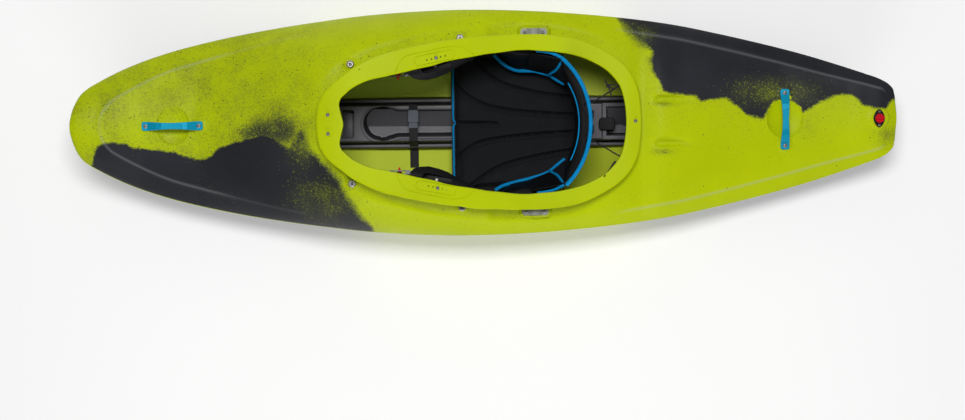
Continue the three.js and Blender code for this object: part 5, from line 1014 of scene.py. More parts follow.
gutter_depth = smooth_curve([(-0.46, 0), (-0.38, 0.007), (-0.2, 0.0075), (-0.08, 0.005), (0.004, 0.0008),
                             (0.012, 0.0075), (0.1, 0.0075), (0.2, 0.005), (0.36, 0)])


def gutter(x, y):
    """Depth of the gutter that runs round the rim."""
    gap = rim_gap(x, y)
    return gutter_depth(x) * (1 - step(0.024, 0.04, gap)) if -0.05 < gap < 0.05 and -0.46 < x < 0.36 else 0


def dish_cutter(centre, wide, long, sizes):
    """The solid that cuts one finger dish: it follows the deck, so that the dish's edge is crisp."""
    def place(u, v):
        reach, drop = DISH_ROWS[round(v * (len(DISH_ROWS) - 1))]
        x = centre[0] + reach * wide * sizes.dish_radius * math.cos(2 * math.pi * u)
        y = centre[1] + reach * long * sizes.dish_radius * math.sin(2 * math.pi * u)
        return Vector((x, y, deck(x, y) + drop * sizes.dish_depth))

    return grid(96, len(DISH_ROWS) - 1, place)


def crease_line(x, y, inner=0.0035, outer_fade=0.003):
    """How near a point lies to the crease that bounds the flat of the deck, from 0 to 1."""
    if -0.47 < x < 0.33:
        return 0
    line = CREASES[x > 0]
    nearest, outer = 1.0, True
    for (x0, y0), (x1, y1) in zip(line, line[1:]):
        run, rise = x1 - x0, y1 - y0
        t = min(max(((x - x0) * run + (y - y0) * rise) / (run ** 2 + rise ** 2), 0), 1)
        gap = math.hypot(x - mix(x0, x1, t), y - mix(y0, y1, t))
        if gap < nearest:
            nearest, outer = gap, (x - x0) * rise - (y - y0) * run < 0
    share = step(0.34, 0.44, x)
    if x < 0:
        share = (1 - 0.75 * step(-0.78, -0.68, x)) * (1 - step(-0.52, -0.47, x))
    share *= (1 - step(1.1, 1.124, x)) * (0.35 + 0.65 * step(0.01, 0.05, y))
    return share * math.exp(-(nearest / (outer_fade if outer else inner)) ** 2)


# Flat pads under the fittings: their middles, height, flat radius and edge radius
PADS = (
    (BOW_PADS, 0.2151, 0.0155, 0.021), (STERN_PADS, 0.167, 0.0155, 0.021),
    ([(1.0975, 0)], 0.1717, 0.027, 0.031),
    ([(-0.365, 0.161), (-0.365, -0.161)], 0.333, 0.0125, 0.017),
    ([(-0.069, 0.231), (-0.069, -0.231)], 0.2786, 0.0125, 0.017),
)

BAR_PLACE, BAR_HALF, BAR_LEVEL = (0.133, 0.246), (0.0315, 0.006), 0.2365


def moulded_deck(x, y):
    """Height of the deck with its pads, grooves, gutters and creases."""
    z = deck(x, y)
    if GROOVE_FRONT < x < GROOVE_FRONT + GROOVE_LENGTH:
        z -= GROOVE_DEPTH * groove_share(x, y)
    z -= gutter(x, y)
    z += 0.004 * crease_line(x, abs(y), 0.018, 0.007)
    for pads, level, flat, edge in PADS:
        for cx, cy in pads:
            reach = math.hypot(x - cx, y - cy)
            if reach < edge:
                z = mix(level, z, step(flat, edge, reach))
    dx, dy = abs(x - BAR_PLACE[0]) - BAR_HALF[0], abs(abs(y) - BAR_PLACE[1]) - BAR_HALF[1]
    reach = math.hypot(max(dx, 0), max(dy, 0))
    if reach < 0.013:
        z = mix(BAR_LEVEL, z, step(0.008, 0.013, reach))
    return z


BEAD_RADIUS = 0.0016
# Where the flat bottom and the side end, as shares of the way from keel to deck, and the bottom's width
FLAT_END, SIDE_END, FLAT_SHARE = 0.09, 0.31, 0.76


def hull_section(x, u, inset=0.0):
    """A point of the hull's cross-section: once round from the keel over starboard and the deck to port."""
    side = 1 if u <= 0.5 else -1
    t = 1 - abs(2 * u - 1)
    out, low, edge = half_beam(x) - inset, keel(x) + inset, sheer(x)
    if t <= FLAT_END:
        return Vector((x, side * FLAT_SHARE * out * t / FLAT_END, low))
    if t <= SIDE_END:
        turn = (t - FLAT_END) / (SIDE_END - FLAT_END) * math.pi / 2
        return Vector((x, side * out * (FLAT_SHARE + (1 - FLAT_SHARE) * math.sin(turn)),
                       low + (edge - low) * (1 - math.cos(turn))))
    y = side * out * (1 - ((t - SIDE_END) / (1 - SIDE_END)) ** 1.35)
    if not inset:
        return Vector((x, y, moulded_deck(x, y)))
    spare = 0
    for centre in (BOW_HANDLE, STERN_HANDLE):
        spare = max(spare, 1 - step(0.056, 0.085, dish_reach(x, y, centre, 1, 1)))
    if GROOVE_FRONT - 0.02 < x < GROOVE_FRONT + GROOVE_LENGTH + 0.02:
        spare = max(spare, 1 - step(0.02, 0.034, abs(abs(y) - GROOVE_OUT)))
    return Vector((x, y, deck(x, y, inset) - 0.015 * spare - gutter(x, y)))


def hull_skin(across, count, inset=0.0, margin=0.0):
    """The hull's outer or inner surface as one closed form."""
    start, length = BOW + margin, STERN - BOW - 2 * margin

    def place(u, v):
        share = 0.65 * v + 0.35 * (0.5 - 0.5 * math.cos(math.pi * v))
        return hull_section(start + length * share, u, inset)

    return grid(across, count, place)


class KAYAK_OT_hull(bpy.types.Operator):
    """Mould the hollow hull with its dishes, pads and grooves, open under the cockpit rim"""

    bl_idname = "kayak.hull"
    bl_label = "Hull"

    def execute(self, context):
        sizes = context.scene.kayak_sizes
        outer = hull_skin(184, 380)
        inner = hull_skin(96, 180, sizes.wall, 0.03)
        ring = []
        for i in range(160):
            angle = 2 * math.pi * i / 160
            radius = rim_radius(angle) - RIM_OVERLAP
            ring.append((RIM_MIDDLE + radius * math.cos(angle), radius * math.sin(angle)))
        bm = carve(outer, [inner, prism(ring, 0.14, 0.42)] + [dish_cutter(*dish, sizes) for dish in DISHES])
        hull = make_piece("hull", bm, "hull_plastic", stands_for=["hull_shell"], crease=50)
        paint_hull(hull.data)
        places = [x / 100 for x in range(-114, 114)]
        bead = [(x, 0.001 - half_beam(x), sheer(x)) for x in places]
        seam = make_piece("parting_bead", tube(bead, BEAD_RADIUS, 500, 8), "hull_plastic")
        paint_plain(seam.data)
        return {"FINISHED"}


# Once round the rim's section, as where a point is measured from, its offset and its drop. A point lies
# outwards of the opening (i) or the rim's edge (o) by millimetres, or at a share of the way between both
# (m). The drop is millimetres below the rim's top, but a foot's is millimetres above the deck.
RIM_PROFILE = [
    ("i", 0, 12), ("i", 0, 7), ("i", 0.1, 2.8), ("i", 1.0, 0.8), ("i", 3.2, 0), ("m", 0.15, 0),
    ("m", 0.35, 0), ("m", 0.6, 0), ("m", 0.85, 0), ("o", -4, 0), ("o", -1.4, 0.9), ("o", -0.2, 3.4),
    ("o", 0, 9), ("o", -0.1, 16), ("o", -0.8, 19.2), ("o", -2.4, 20), ("o", -4.2, 19.2), ("o", -5, 16),
    ("o", -5, 9), ("o", -7, 7), ("o", -19, 7), ("o", -22, 9.5), ("foot", -22, -7), ("foot", -28, -7),
    ("o", -28, 9), ("o", -30, 7), ("i", 7, 7), ("i", 5, 8.5), ("i", 4.9, 12), ("i", 3.6, 13.4),
    ("i", 1.2, 13.2),
]


def rim_point(angle, entry):
    """A point of the rim's section at an angle."""
    kind, offset, drop = entry
    inner, outer = opening_radius(angle), rim_radius(angle)
    if kind == "i":
        radius = inner + offset / 1000
    elif kind == "m":
        radius = mix(inner, outer, offset)
    else:
        radius = outer + offset / 1000
    x, y = RIM_MIDDLE + radius * math.cos(angle), radius * math.sin(angle)
    z = deck(x, y) + drop / 1000 if kind == "foot" else rim_top(x) - drop / 1000
    return Vector((x, y, z))


def loop_tube(points, radius, sides=8):
    """A round tube along a closed loop of points."""
    count = len(points)

    def place(u, v):
        i = int(round(v * count)) % count
        forward = (points[(i + 1) % count] - points[i - 1]).normalized()
        side = forward.cross(Vector((0, 0, 1))).normalized()
        angle = 2 * math.pi * u
        return points[i] + (side * math.cos(angle) + side.cross(forward) * math.sin(angle)) * radius

    return grid(sides, count, place)


# Lines pressed into the rim round its adjusters, as (X, Y) to starboard
ADJUSTER, HOLE_PITCH, PRESSED_LINE = (-0.1375, 0.1753), 0.0123, 0.0016
PANEL_EDGE = [
    (-0.2435, 0.128), (-0.2416, 0.138), (-0.2346, 0.1557), (-0.2238, 0.1714), (-0.2068, 0.182),
    (-0.1634, 0.1913), (-0.1046, 0.2037), (-0.0706, 0.2048), (-0.0549, 0.199), (-0.0304, 0.183),
    (-0.018, 0.1715),
]


def slot_outline(centre, half_length, radius, slant, count=72):
    """A long round-ended loop round a centre, turned by a slope."""
    turn = Matrix.Rotation(math.atan(slant), 2)
    loop = []
    for i in range(count):
        angle = 2 * math.pi * (i + 0.5) / count
        spot = Vector((math.cos(angle) * radius, math.sin(angle) * radius))
        spot.x += math.copysign(half_length - radius, spot.x)
        loop.append(turn @ spot + Vector(centre))
    return loop


def closed_curve(points, count):
    """Evenly counted points on a smooth closed curve through the given ones."""
    loop = [Vector(p) for p in points]
    size = len(loop)
    found = []
    for k in range(count):
        at = k / count * size
        i = int(at)
        t = at - i
        a, b, c, d = (loop[(i + n) % size] for n in (-1, 0, 1, 2))
        found.append(0.5 * (2 * b + (c - a) * t + (2 * a - 5 * b + 4 * c - d) * t * t
                            + (3 * b - a - 3 * c + d) * t ** 3))
    return found


def drill(radius, x, y):
    """The rod that cuts a hole through the rim's top."""
    return turned([(0, -0.02), (radius, -0.02), (radius, 0.02), (0, 0.02)], 16, (x, y, rim_top(x)))


class KAYAK_OT_rim(bpy.types.Operator):
    """Build the cockpit rim with its lips, the lines pressed round its panels and its adjuster holes"""

    bl_idname = "kayak.rim"
    bl_label = "Cockpit rim"

    def execute(self, context):
        count = len(RIM_PROFILE)

        def place(u, v):
            return rim_point(2 * math.pi * v, RIM_PROFILE[int(round(u * count)) % count])

        bm = grid(count, 300, place)
        holes = []
        for _, side in SIDES:
            for k in range(-2, 3):
                x = -0.1335 + HOLE_PITCH * k
                y = side * (0.175 + HOLE_PITCH * 0.23 * k)
                holes.append(drill(0.0022, x, y))
            edge = [(x, side * y, rim_top(x) + 0.0002) for x, y in PANEL_EDGE]
            holes.append(tube(edge, PRESSED_LINE, 90, 8))
            slot = slot_outline((ADJUSTER[0], side * ADJUSTER[1]), 0.0545, 0.0125, side * 0.21)
            holes.append(loop_tube([Vector((x, y, rim_top(x) + 0.0002)) for x, y in slot], PRESSED_LINE))
            ring = slot_outline((-0.4225, side * 0.0205), 0.0125, 0.0125, 0, 40)
            holes.append(loop_tube([Vector((x, y, rim_top(x) + 0.0003)) for x, y in ring], 0.0012))
        holes.append(drill(0.0018, -0.338, 0.146))
        rim = make_piece("cockpit_rim", carve(bm, holes), "hull_plastic",
                         stands_for=["hull_shell"], crease=42)
        paint_plain(rim.data)
        return {"FINISHED"}


# Half of a bolt's section as radius and drop in millimetres: its socket, then the head's rim and washer
SOCKET = [(0, 2.4), (1.8, 2.4), (2.4, 0.2)]
WASHER = [
    (2.9, 0), (4, 0.5), (4.4, 1.4), (4.4, 4.4), (7, 4.4), (7.2, 2.2), (7.8, 1.8), (9.6, 2.6), (10.2, 3.4),
    (10.2, 4.8),
]


def bolt(node, head, washer):
    """A domed socket screw, with a washer if it has one, in the place of its plain solid."""
    low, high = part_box(node)
    x, y = (low.x + high.x) / 2, (low.y + high.y) / 2
    dome = [(2.8, 0), (head * 660, 0.3), (head * 880, 1.1), (head * 990, 2.2), (head * 1000, 2.9)]
    profile = [(r / 1000, high.z - drop / 1000) for r, drop in SOCKET + (WASHER if washer else dome)]
    base = profile[-1][1]
    profile += [(0.003, base), (0.003, low.z), (0, low.z)]
    bm = turned(profile, 36)
    bmesh.ops.translate(bm, vec=(x, y, 0), verts=bm.verts)
    piece = make_piece(node + "_piece", bm, "stainless", stands_for=[node], crease=30)
    piece.data.materials.append(material("dull_metal"))
    for face in piece.data.polygons:
        if math.hypot(face.center.x - x, face.center.y - y) < (0.0043 if washer else 0.003):
            face.material_index = 1


class KAYAK_OT_screws(bpy.types.Operator):
    """Set every screw and bolt"""

    bl_idname = "kayak.screws"
    bl_label = "Screws and bolts"

    def execute(self, context):
        for node in sorted(frame["nodes"]):
            if "screw" in node or "bolt" in node:
                low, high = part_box(node)
                wide = (high.x - low.x) / 2
                bolt(node, min(wide, 0.006), washer=wide > 0.008)
        return {"FINISHED"}


def padded_loft(sections, across, name, body, node, *padding):
    """A padded form through sections of equally many points, each a smooth closed loop."""
    loops = [closed_curve(s, across) for s in sections]
    last = len(sections) - 1
    bm = grid(across, last, lambda u, v: loops[int(round(v * last))][int(round(u * across)) % across])
    return make_piece(name, inflate(bm, *padding), "gloss_neoprene", body, [node], 60)


def inflate(bm, voxel, pressure, cap):
    """The form filled out by cloth under pressure, with no point further than the cap from its start."""
    mesh = mesh_of(bm, "padding")
    pad = new_object("padding", mesh)
    remesh = pad.modifiers.new("Remesh", "REMESH")
    remesh.mode = "VOXEL"
    remesh.voxel_size = voxel
    shape = as_modified(pad)
    pad.modifiers.clear()
    pad.data = shape
    start = np.stack(xyz(shape.vertices, "co"), 1)
    cloth = pad.modifiers.new("Cloth", "CLOTH")
    cloth.settings.quality = 5
    cloth.settings.mass = 0.2
    cloth.settings.use_pressure = True
    cloth.settings.uniform_pressure_force = pressure
    cloth.settings.effector_weights.gravity = 0
    cloth.point_cache.frame_start = 1
    cloth.point_cache.frame_end = 20
    for number in range(1, 21):
        bpy.context.scene.frame_set(number)
    swollen = as_modified(pad)
    bpy.context.scene.frame_set(1)
    moved = np.stack(xyz(swollen.vertices, "co"), 1) - start
    if not np.isfinite(moved).all():
        raise RuntimeError("the padding did not settle")
    reach = np.linalg.norm(moved, axis=1)
    share = np.minimum(1, cap / np.maximum(reach, 1e-9))
    swollen.vertices.foreach_set("co", (start + moved * share[:, None]).ravel())
    pad.modifiers.clear()
    pad.data = swollen
    smooth = pad.modifiers.new("Smooth", "SUBSURF")
    smooth.levels = smooth.render_levels = 1
    fine = as_modified(pad)
    result = bmesh.new()
    result.from_mesh(fine)
    bpy.data.objects.remove(pad)
    for used in (mesh, shape, swollen, fine):
        bpy.data.meshes.remove(used)
    return result


def heights_on(piece, points, spare):
    """Heights of (x, y) points on a piece, met from above. A point beside it has the spare height."""
    bm = bmesh.new()
    bm.from_mesh(piece.data)
    tree = BVHTree.FromBMesh(bm)
    bm.free()
    hits = [tree.ray_cast(Vector((x, y, 0.5)), Vector((0, 0, -1)))[0] for x, y in points]
    return [hit.z if hit else spare for hit in hits]


SEAT_FRONT, SEAT_REAR = -0.095, 0.280
CHANNEL_DEPTH, CHANNEL_SWELL, PAN_GAP = 0.0072, 0.0022, 0.0004
SEAT_OVAL = (0.254, 0.240)
PAN_PLACES = [0.11, 0.1358, 0.1616, 0.1788, 0.196]
CHANNELS = [
    [(-0.081, 0.0008), (-0.02, 0), (0.03, -0.002)],
    [(-0.0877, 0.1144), (-0.0615, 0.0848), (-0.0117, 0.0549), (0.0569, 0.0371), (0.1549, 0.026),
     (0.25, 0.0205)],
    [(-0.0262, 0.1775), (0.008, 0.1381), (0.0569, 0.1079), (0.1548, 0.0824), (0.25, 0.07)],
    [(-0.0877, -0.1011), (-0.0507, -0.0719), (-0.0117, -0.053), (0.0569, -0.0418), (0.1549, -0.0329),
     (0.25, -0.028)],
    [(-0.0416, -0.1753), (-0.0017, -0.1464), (0.0569, -0.1175), (0.1548, -0.0941), (0.25, -0.0785)],
]


def pan_height(y):
    """Height of the seat pan's upper face."""
    out = max(abs(y) - PAN_PLACES[0], 0) / (PAN_PLACES[-1] - PAN_PLACES[0])
    return 0.0646 + 0.026 * min(out, 1) ** 2


def cushion_edge(x):
    """Half the cushion's width, drawn in a little between its corners and rounded behind."""
    u = (x - SEAT_FRONT) / (SEAT_REAR - SEAT_FRONT)
    oval = SEAT_OVAL[1] * math.sqrt(max(1 - ((x - 0.044) / SEAT_OVAL[0]) ** 2, 0))
    return min(0.192 - 0.004 * math.sin(math.pi * min(max(u, 0), 1)), oval - 0.002)


class KAYAK_OT_seat_cushion(bpy.types.Operator):
    """Pad the seat cushion, sew its channels and bind its front edge"""

    bl_idname = "kayak.seat_cushion"
    bl_label = "Seat cushion"

    def execute(self, context):
        across, count = 190, 180

        def place(u, v):
            x = mix(SEAT_FRONT, SEAT_REAR, v)
            half = cushion_edge(x)
            end = 1 - abs(2 * v - 1) ** 14
            if u <= 0.76:
                turn = u / 0.76 * 2 - 1
                y = half * math.sin(turn * math.pi / 2) if abs(turn) > 0.9 else half * turn
                share = abs(y) / half
                thick = (0.009 + 0.011 * (1 - share ** 8)) * max(1 - share ** 16, 0) ** 0.5
                return Vector((x, y, pan_height(y) + PAN_GAP + thick * max(end, 0) ** 0.5))
            y = half * (1 - (u - 0.76) / 0.12)
            return Vector((x, y, pan_height(y) + PAN_GAP))

        bm = inflate(grid(across, count, place), 0.0045, 2.0, 0.005)
        low = {v: pan_height(v.co.y) + PAN_GAP for v in bm.verts}
        for vert in bm.verts:
            vert.co.z = max(vert.co.z, low[vert])
        spots = np.array([(v.co.x, v.co.y) for v in bm.verts])
        near = np.full(len(spots), 1.0)
        for line in CHANNELS:
            smooth = [(p.x, p.y) for p in route([(a, b, 0) for a, b in line], 40)]
            near = np.minimum(near, distance_to(spots, smooth))
        for vert, gap in zip(bm.verts, near):
            if vert.co.z > pan_height(vert.co.y) + 0.004:
                swell = CHANNEL_SWELL * math.exp(-((gap - 0.0075) / 0.0036) ** 2)
                vert.co.z -= CHANNEL_DEPTH * math.exp(-(gap / 0.003) ** 2) - swell
        cushion = make_piece("seat_cushion_piece", bm, "neoprene", stands_for=["seat_cushion"], crease=80)
        edge = [(SEAT_FRONT + 0.0016 + (0.006 if abs(y) < 0.006 else 0) + 0.004 * (abs(y) / 0.19) ** 6, y,
                 pan_height(y) + 0.0075)
                 for y in (-0.186, -0.15, -0.1, -0.05, -0.012, 0, 0.012, 0.05, 0.1, 0.15, 0.186)]
        make_piece("seat_front_piping", tube(edge, 0.0028, 120, 14), "piping")
        return {"FINISHED"}


# How far each hip pad's lower edge reaches inwards, along X
HIP_REACH = {
    "starboard": [(0.0195, 0.012), (0.023, 0.014), (0.046, 0.037), (0.088, 0.059), (0.137, 0.0612),
                  (0.163, 0.068), (0.196, 0.082)],
    "port": [(0.0195, 0.01), (0.023, 0.0127), (0.046, 0.0257), (0.078, 0.0347), (0.12, 0.0447),
             (0.162, 0.0572), (0.196, 0.078)],
}
HIP_OUTER, HIP_LOW, HIP_BACK = 0.2067, 0.1023, 0.195


def band_follows(piece):
    """Bakes a piece's placement into its mesh."""
    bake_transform(piece)


def patch(corners, bulge, across, count, thick):
    """A thin padded panel between four corners, pushed out in its middle."""
    a, b, c, d = (Vector(p) for p in corners)
    normal = (b - a).cross(d - a).normalized()
    bm = bmesh.new()
    bmesh.ops.create_grid(bm, x_segments=across, y_segments=count, size=0.5)
    for vert in bm.verts:
        u, v = vert.co.x + 0.5, vert.co.y + 0.5
        lift = bulge * math.sin(math.pi * u) * math.sin(math.pi * v)
        vert.co = a.lerp(b, u).lerp(d.lerp(c, u), v) + normal * lift
    bmesh.ops.remove_doubles(bm, verts=bm.verts, dist=1e-6)
    bmesh.ops.solidify(bm, geom=bm.faces, thickness=thick)
    bmesh.ops.recalc_face_normals(bm, faces=bm.faces)
    return bm


class KAYAK_OT_hip_pads(bpy.types.Operator):
    """Pad both hips, with the wing and the gusset that tie each to the backband, and bind their edges"""

    bl_idname = "kayak.hip_pads"
    bl_label = "Hip pads"

    def execute(self, context):
        for name, side in SIDES:
            reach = smooth_curve(HIP_REACH[name])
            start, steps = 0.021, 48
            rings = []
            for i in range(steps + 1):
                u = i / steps
                x = mix(start, HIP_BACK, u)
                swell = 1 - abs(2 * u - 1) ** 5
                cap = min(1, 0.3 + 6 * u, 0.3 + 6 * (1 - u))
                bottom = reach(x)
                height = 0.122 * (0.62 + 0.38 * swell) + 0.026 * step(0.55, 1, u)
                top = 0.017 * (0.7 + 0.3 * swell)
                section = [(0, 0.06), (0, 0.5), (0, 0.94), (top * 0.3, 0.995), (top * 0.85, 0.98),
                           (top, 0.9), ((top * 3 + bottom) / 4, 0.6), ((top + bottom) / 2, 0.36),
                           (bottom * 0.95, 0.14), (bottom * 0.97, 0.06), (bottom * 0.88, 0.005),
                           (bottom * 0.5, 0), (bottom * 0.12, 0)]
                rings.append([(x, side * (HIP_OUTER - inward * cap), HIP_LOW + up * height)
                              for inward, up in section])
            pad = padded_loft(rings, 60, "hip_pad_piece_" + name, "hull", "hip_pad_" + name,
                              0.005, 2.5, 0.006)
            inner = HIP_OUTER - reach(0.18) - 0.001
            fold, tail = (0.18, side * inner, 0.124), (0.2215, side * 0.104, 0.142)
            corner = (0.2125, side * 0.1735, 0.259)
            front_low = (0.11, side * (HIP_OUTER - reach(0.11) + 0.006), 0.13)
            front_high = (0.125, side * 0.1925, 0.232)
            back_low = (fold[0], side * (inner + 0.006), 0.134)
            corners = [front_low, back_low, corner, front_high]
            wing = patch(corners if side < 0 else corners[::-1], 0.004, 24, 18, 0.005)
            wing = make_piece("hip_wing_" + name, round_edges(wing, 0.0012), "gloss_neoprene", None)
            back_tail = (0.222, side * 0.109, 0.146)
            corners = [back_low, back_tail, corner, corner]
            if side > 0:
                corners = [back_low, corner, corner, back_tail]
            gusset = make_piece("hip_gusset_" + name, patch(corners, 0, 20, 20, 0.003), "neoprene", None)
            low_edge = [(x, side * (HIP_OUTER - reach(x) - 0.0025),
                         0.128 + 0.006 * (1 - step(0.024, 0.06, x)))
                        for x in (0.022, 0.034, 0.046, 0.066, 0.088, 0.112, 0.137, 0.16)]
            between = (0.2, side * mix(inner, 0.104, 0.5), 0.134)
            main = tube(low_edge + [fold, between, tail], 0.005, 150, 14)
            halfway = Vector(fold).lerp(Vector(corner), 0.5) + Vector((0.001, -side * 0.006, 0.004))
            branch = tube([(fold[0] - 0.004, fold[1], fold[2] + 0.006), halfway, corner], 0.004, 70, 12)
            upper = tube([(0.138, side * 0.1955, 0.238), (0.16, side * 0.193, 0.245),
                          (0.185, side * 0.187, 0.252), corner], 0.0042, 80, 12)
            bound = [make_piece(f"hip_piping_{part}_{name}", bm, "piping", None)
                     for part, bm in (("main", main), ("branch", branch), ("upper", upper))]
            for piece in [wing, gusset] + bound:
                band_follows(piece)
        return {"FINISHED"}


BAND_CENTRE, BAND_RADIUS, BAND_TURN, BAND_LOW = 0.044, 0.24, math.asin(0.172 / 0.24), 0.1093


def band_span(u):
    """Lower and upper edge of the backband at a place from -1 to 1 round it."""
    height = 0.192 - 0.074 * abs(u) ** 3
    middle = BAND_LOW + 0.096 - 0.0024 * abs(u)
    return middle - height / 2, middle + height / 2


def band_point(u, radius, z):
    """A point of the backband, whose port end is drawn back a little."""
    lag = 0.009 * max(-u, 0) ** 1.6
    return (BAND_CENTRE + radius * math.cos(u * BAND_TURN) + lag, radius * math.sin(u * BAND_TURN), z)


class KAYAK_OT_backband(bpy.types.Operator):
    """Pad the backband and bind its edges"""

    bl_idname = "kayak.backband"
    bl_label = "Backband"

    def execute(self, context):
        rings = []
        steps = 60
        face = BAND_RADIUS - 0.0043
        for i in range(steps + 1):
            u = 2 * i / steps - 1
            low, high = band_span(u)
            swell = 1 - abs(u) ** 6
            edge = 0.012 * (0.6 + 0.4 * swell)
            thick = edge + (0.028 - edge) * swell
            over = 0.004 * swell
            section = [(0, 0.02), (0, 0.5), (0, 0.97), (0.004, 1.0), (thick * 0.45, 1.004),
                       (thick * 0.85, 0.992), (thick, 0.95), (thick, 0.66), (thick, 0.34),
                       (thick * 0.9, 0.14), (edge, 0.02), (edge * 0.5, 0)]
            rings.append([band_point(u, face - forward, low - over + up * (high - low + 2 * over))
                          for forward, up in section])
        pad = padded_loft(rings, 56, "backband_pad_piece", "backband", "backband_pad", 0.005, 1.5, 0.003)
        thick = context.scene.kayak_sizes.piping / 2
        rows = [k / 20 for k in range(-20, 21)]
        for name, radius, rise, size, reach in (
            ("rear", BAND_RADIUS - 0.0005, 0.002, thick, 1.03),
            ("front", face - 0.0275, -0.002, thick * 0.32, 0.67),
        ):
            line = [band_point(u * reach, radius, band_span(min(abs(u * reach), 1))[1] + rise)
                    for u in rows]
            make_piece("backband_piping_" + name, tube(line, size, 160, 16), "piping", body="backband")
        return {"FINISHED"}


class KAYAK_OT_cord_ends(bpy.types.Operator):
    """Tie the loose cord ends behind the backband and sew its strap anchor to the rail"""

    bl_idname = "kayak.cord_ends"
    bl_label = "Cord ends and anchor"

    def execute(self, context):
        tie = [(0.3277, 0.1179, 0.2375), (0.3357, 0.0985, 0.2395), (0.351, 0.1012, 0.2405),
               (0.3636, 0.0975, 0.2405), (0.3505, 0.0893, 0.2395), (0.338, 0.0955, 0.239),
               (0.3412, 0.0835, 0.2374), (0.3484, 0.0609, 0.235)]
        make_piece("cord_tie", tube(tie, 0.002, 150, 10), "webbing")
        knot = turned([(0, -0.0044), (0.0034, -0.0038), (0.0056, -0.0016), (0.0056, 0.0016),
                       (0.0034, 0.0038), (0, 0.0044)], 24, (0.336, 0.0972, 0.239))
        make_piece("cord_knot", knot, "webbing", crease=80)
        loose = [(0.3215, -0.1525, 0.262), (0.3297, -0.1424, 0.2525), (0.343, -0.1265, 0.247)]
        make_piece("loose_cord", tube(loose, 0.0018, 60, 10), "webbing")
        toggle = [(0.341, -0.129, 0.2475), (0.348, -0.12, 0.2465), (0.3554, -0.1101, 0.246)]
        make_piece("loose_toggle", tube(toggle, 0.0032, 40, 14), "rubber")
        low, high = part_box("backband_anchor")
        middle, half = (low + high) / 2, (high - low) / 2

        def place(u, v):
            a, b = 2 * math.pi * u, math.pi * (v - 0.5)
            x, y, z = (math.copysign(abs(value) ** 0.45, value)
                       for value in (math.cos(a), math.sin(a), math.sin(b)))
            ring = abs(math.cos(b)) ** 0.3
            fold = 0.0014 * math.exp(-((x * ring + 0.35) / 0.06) ** 2)
            return Vector((middle.x + half.x * x * ring, middle.y + half.y * y * ring,
                           middle.z + half.z * z - (fold if z > 0 else 0)))

        anchor = grid(72, 40, place)
        make_piece("backband_anchor_piece", anchor, "webbing", stands_for=["backband_anchor"], crease=60)
        return {"FINISHED"}


class KAYAK_OT_bottle_strap(bpy.types.Operator):
    """Lay the bottle strap across the rail"""

    bl_idname = "kayak.bottle_strap"
    bl_label = "Bottle strap"

    def execute(self, context):
        for name, line in (
            ("starboard", [(0.0383, 0.0613), (0.046, 0.0613), (0.0538, 0.0613)]),
            ("port", [(-0.1277, 0.0078), (-0.1, 0.0078), (-0.0773, 0.0079), (-0.0762, 0.0125),
                      (-0.0512, 0.0608), (-0.0475, 0.0613), (-0.0142, 0.0613)]),
        ):
            spine = route([(0, y, z) for y, z in line], 90)

            def place(u, v):
                i = int(round(v * 90))
                forward = (spine[min(i + 1, 90)] - spine[max(i - 1, 0)]).normalized()
                lift = Vector((0, -forward.z, forward.y))
                a = 2 * math.pi * u
                wide = math.copysign(abs(math.cos(a)) ** 0.25, math.cos(a)) * 0.0124
                thick = math.copysign(abs(math.sin(a)) ** 0.5, math.sin(a)) * 0.0009
                return spine[i] + Vector((-0.208 + wide, 0, 0)) + lift * thick

            make_piece("bottle_web_" + name, grid(24, 90, place),
                       "webbing", stands_for=["bottle_strap_" + name])
        return {"FINISHED"}


RAIL_FRONT, RAIL_REAR, RAIL_HALF, WINDOW_PLACE = -0.52, 0.462, 0.076, -0.396
rail_side = smooth_curve([(0, 0.06), (0.0492, 0.06), (0.0513, 0.0585), (0.0563, 0.034), (0.0588, 0.0305),
                          (0.061, 0.0328), (0.0678, 0.0328), (0.0705, 0.03), (0.0745, 0.01),
                          (0.076, 0.0085)])


def rail_height(x, y):
    """Height of the rail's upper face, and how steep a wall it is there, from 0 to 1, which the rail's
    material paints as shade.
    """
    out = abs(y)
    z = rail_side(out)
    wall = step(0.0495, 0.0515, out) * (1 - step(0.0595, 0.061, out)) + step(0.068, 0.07, out)
    slot = 0.039 - out if -0.304 < x < -0.024 else -1
    ring = 0.048 - math.hypot(x + 0.304, y)
    inside = max(slot, ring) + 0.006 * math.exp(-((slot - ring) / 0.012) ** 2)
    z -= 0.024 * step(0, 0.013, inside) - 0.0012 * math.exp(-((inside + 0.003) / 0.002) ** 2)
    wall = max(wall, step(0.0005, 0.003, inside) * (1 - step(0.0105, 0.013, inside)))
    tail = min(x - 0.345, 0.44 - x, 0.04 - out)
    if tail > -0.02:
        lip = step(-0.0145, -0.012, tail) * (1 - step(-0.002, 0.0005, tail))
        z = mix(max(z, 0.056) if tail > -0.014 else z, 0.0638, lip)
        z -= 0.024 * step(0, 0.007, tail)
        wall = max(wall * (1 - lip), step(0, 0.002, tail) * (1 - step(0.006, 0.0075, tail)))
    return z, wall


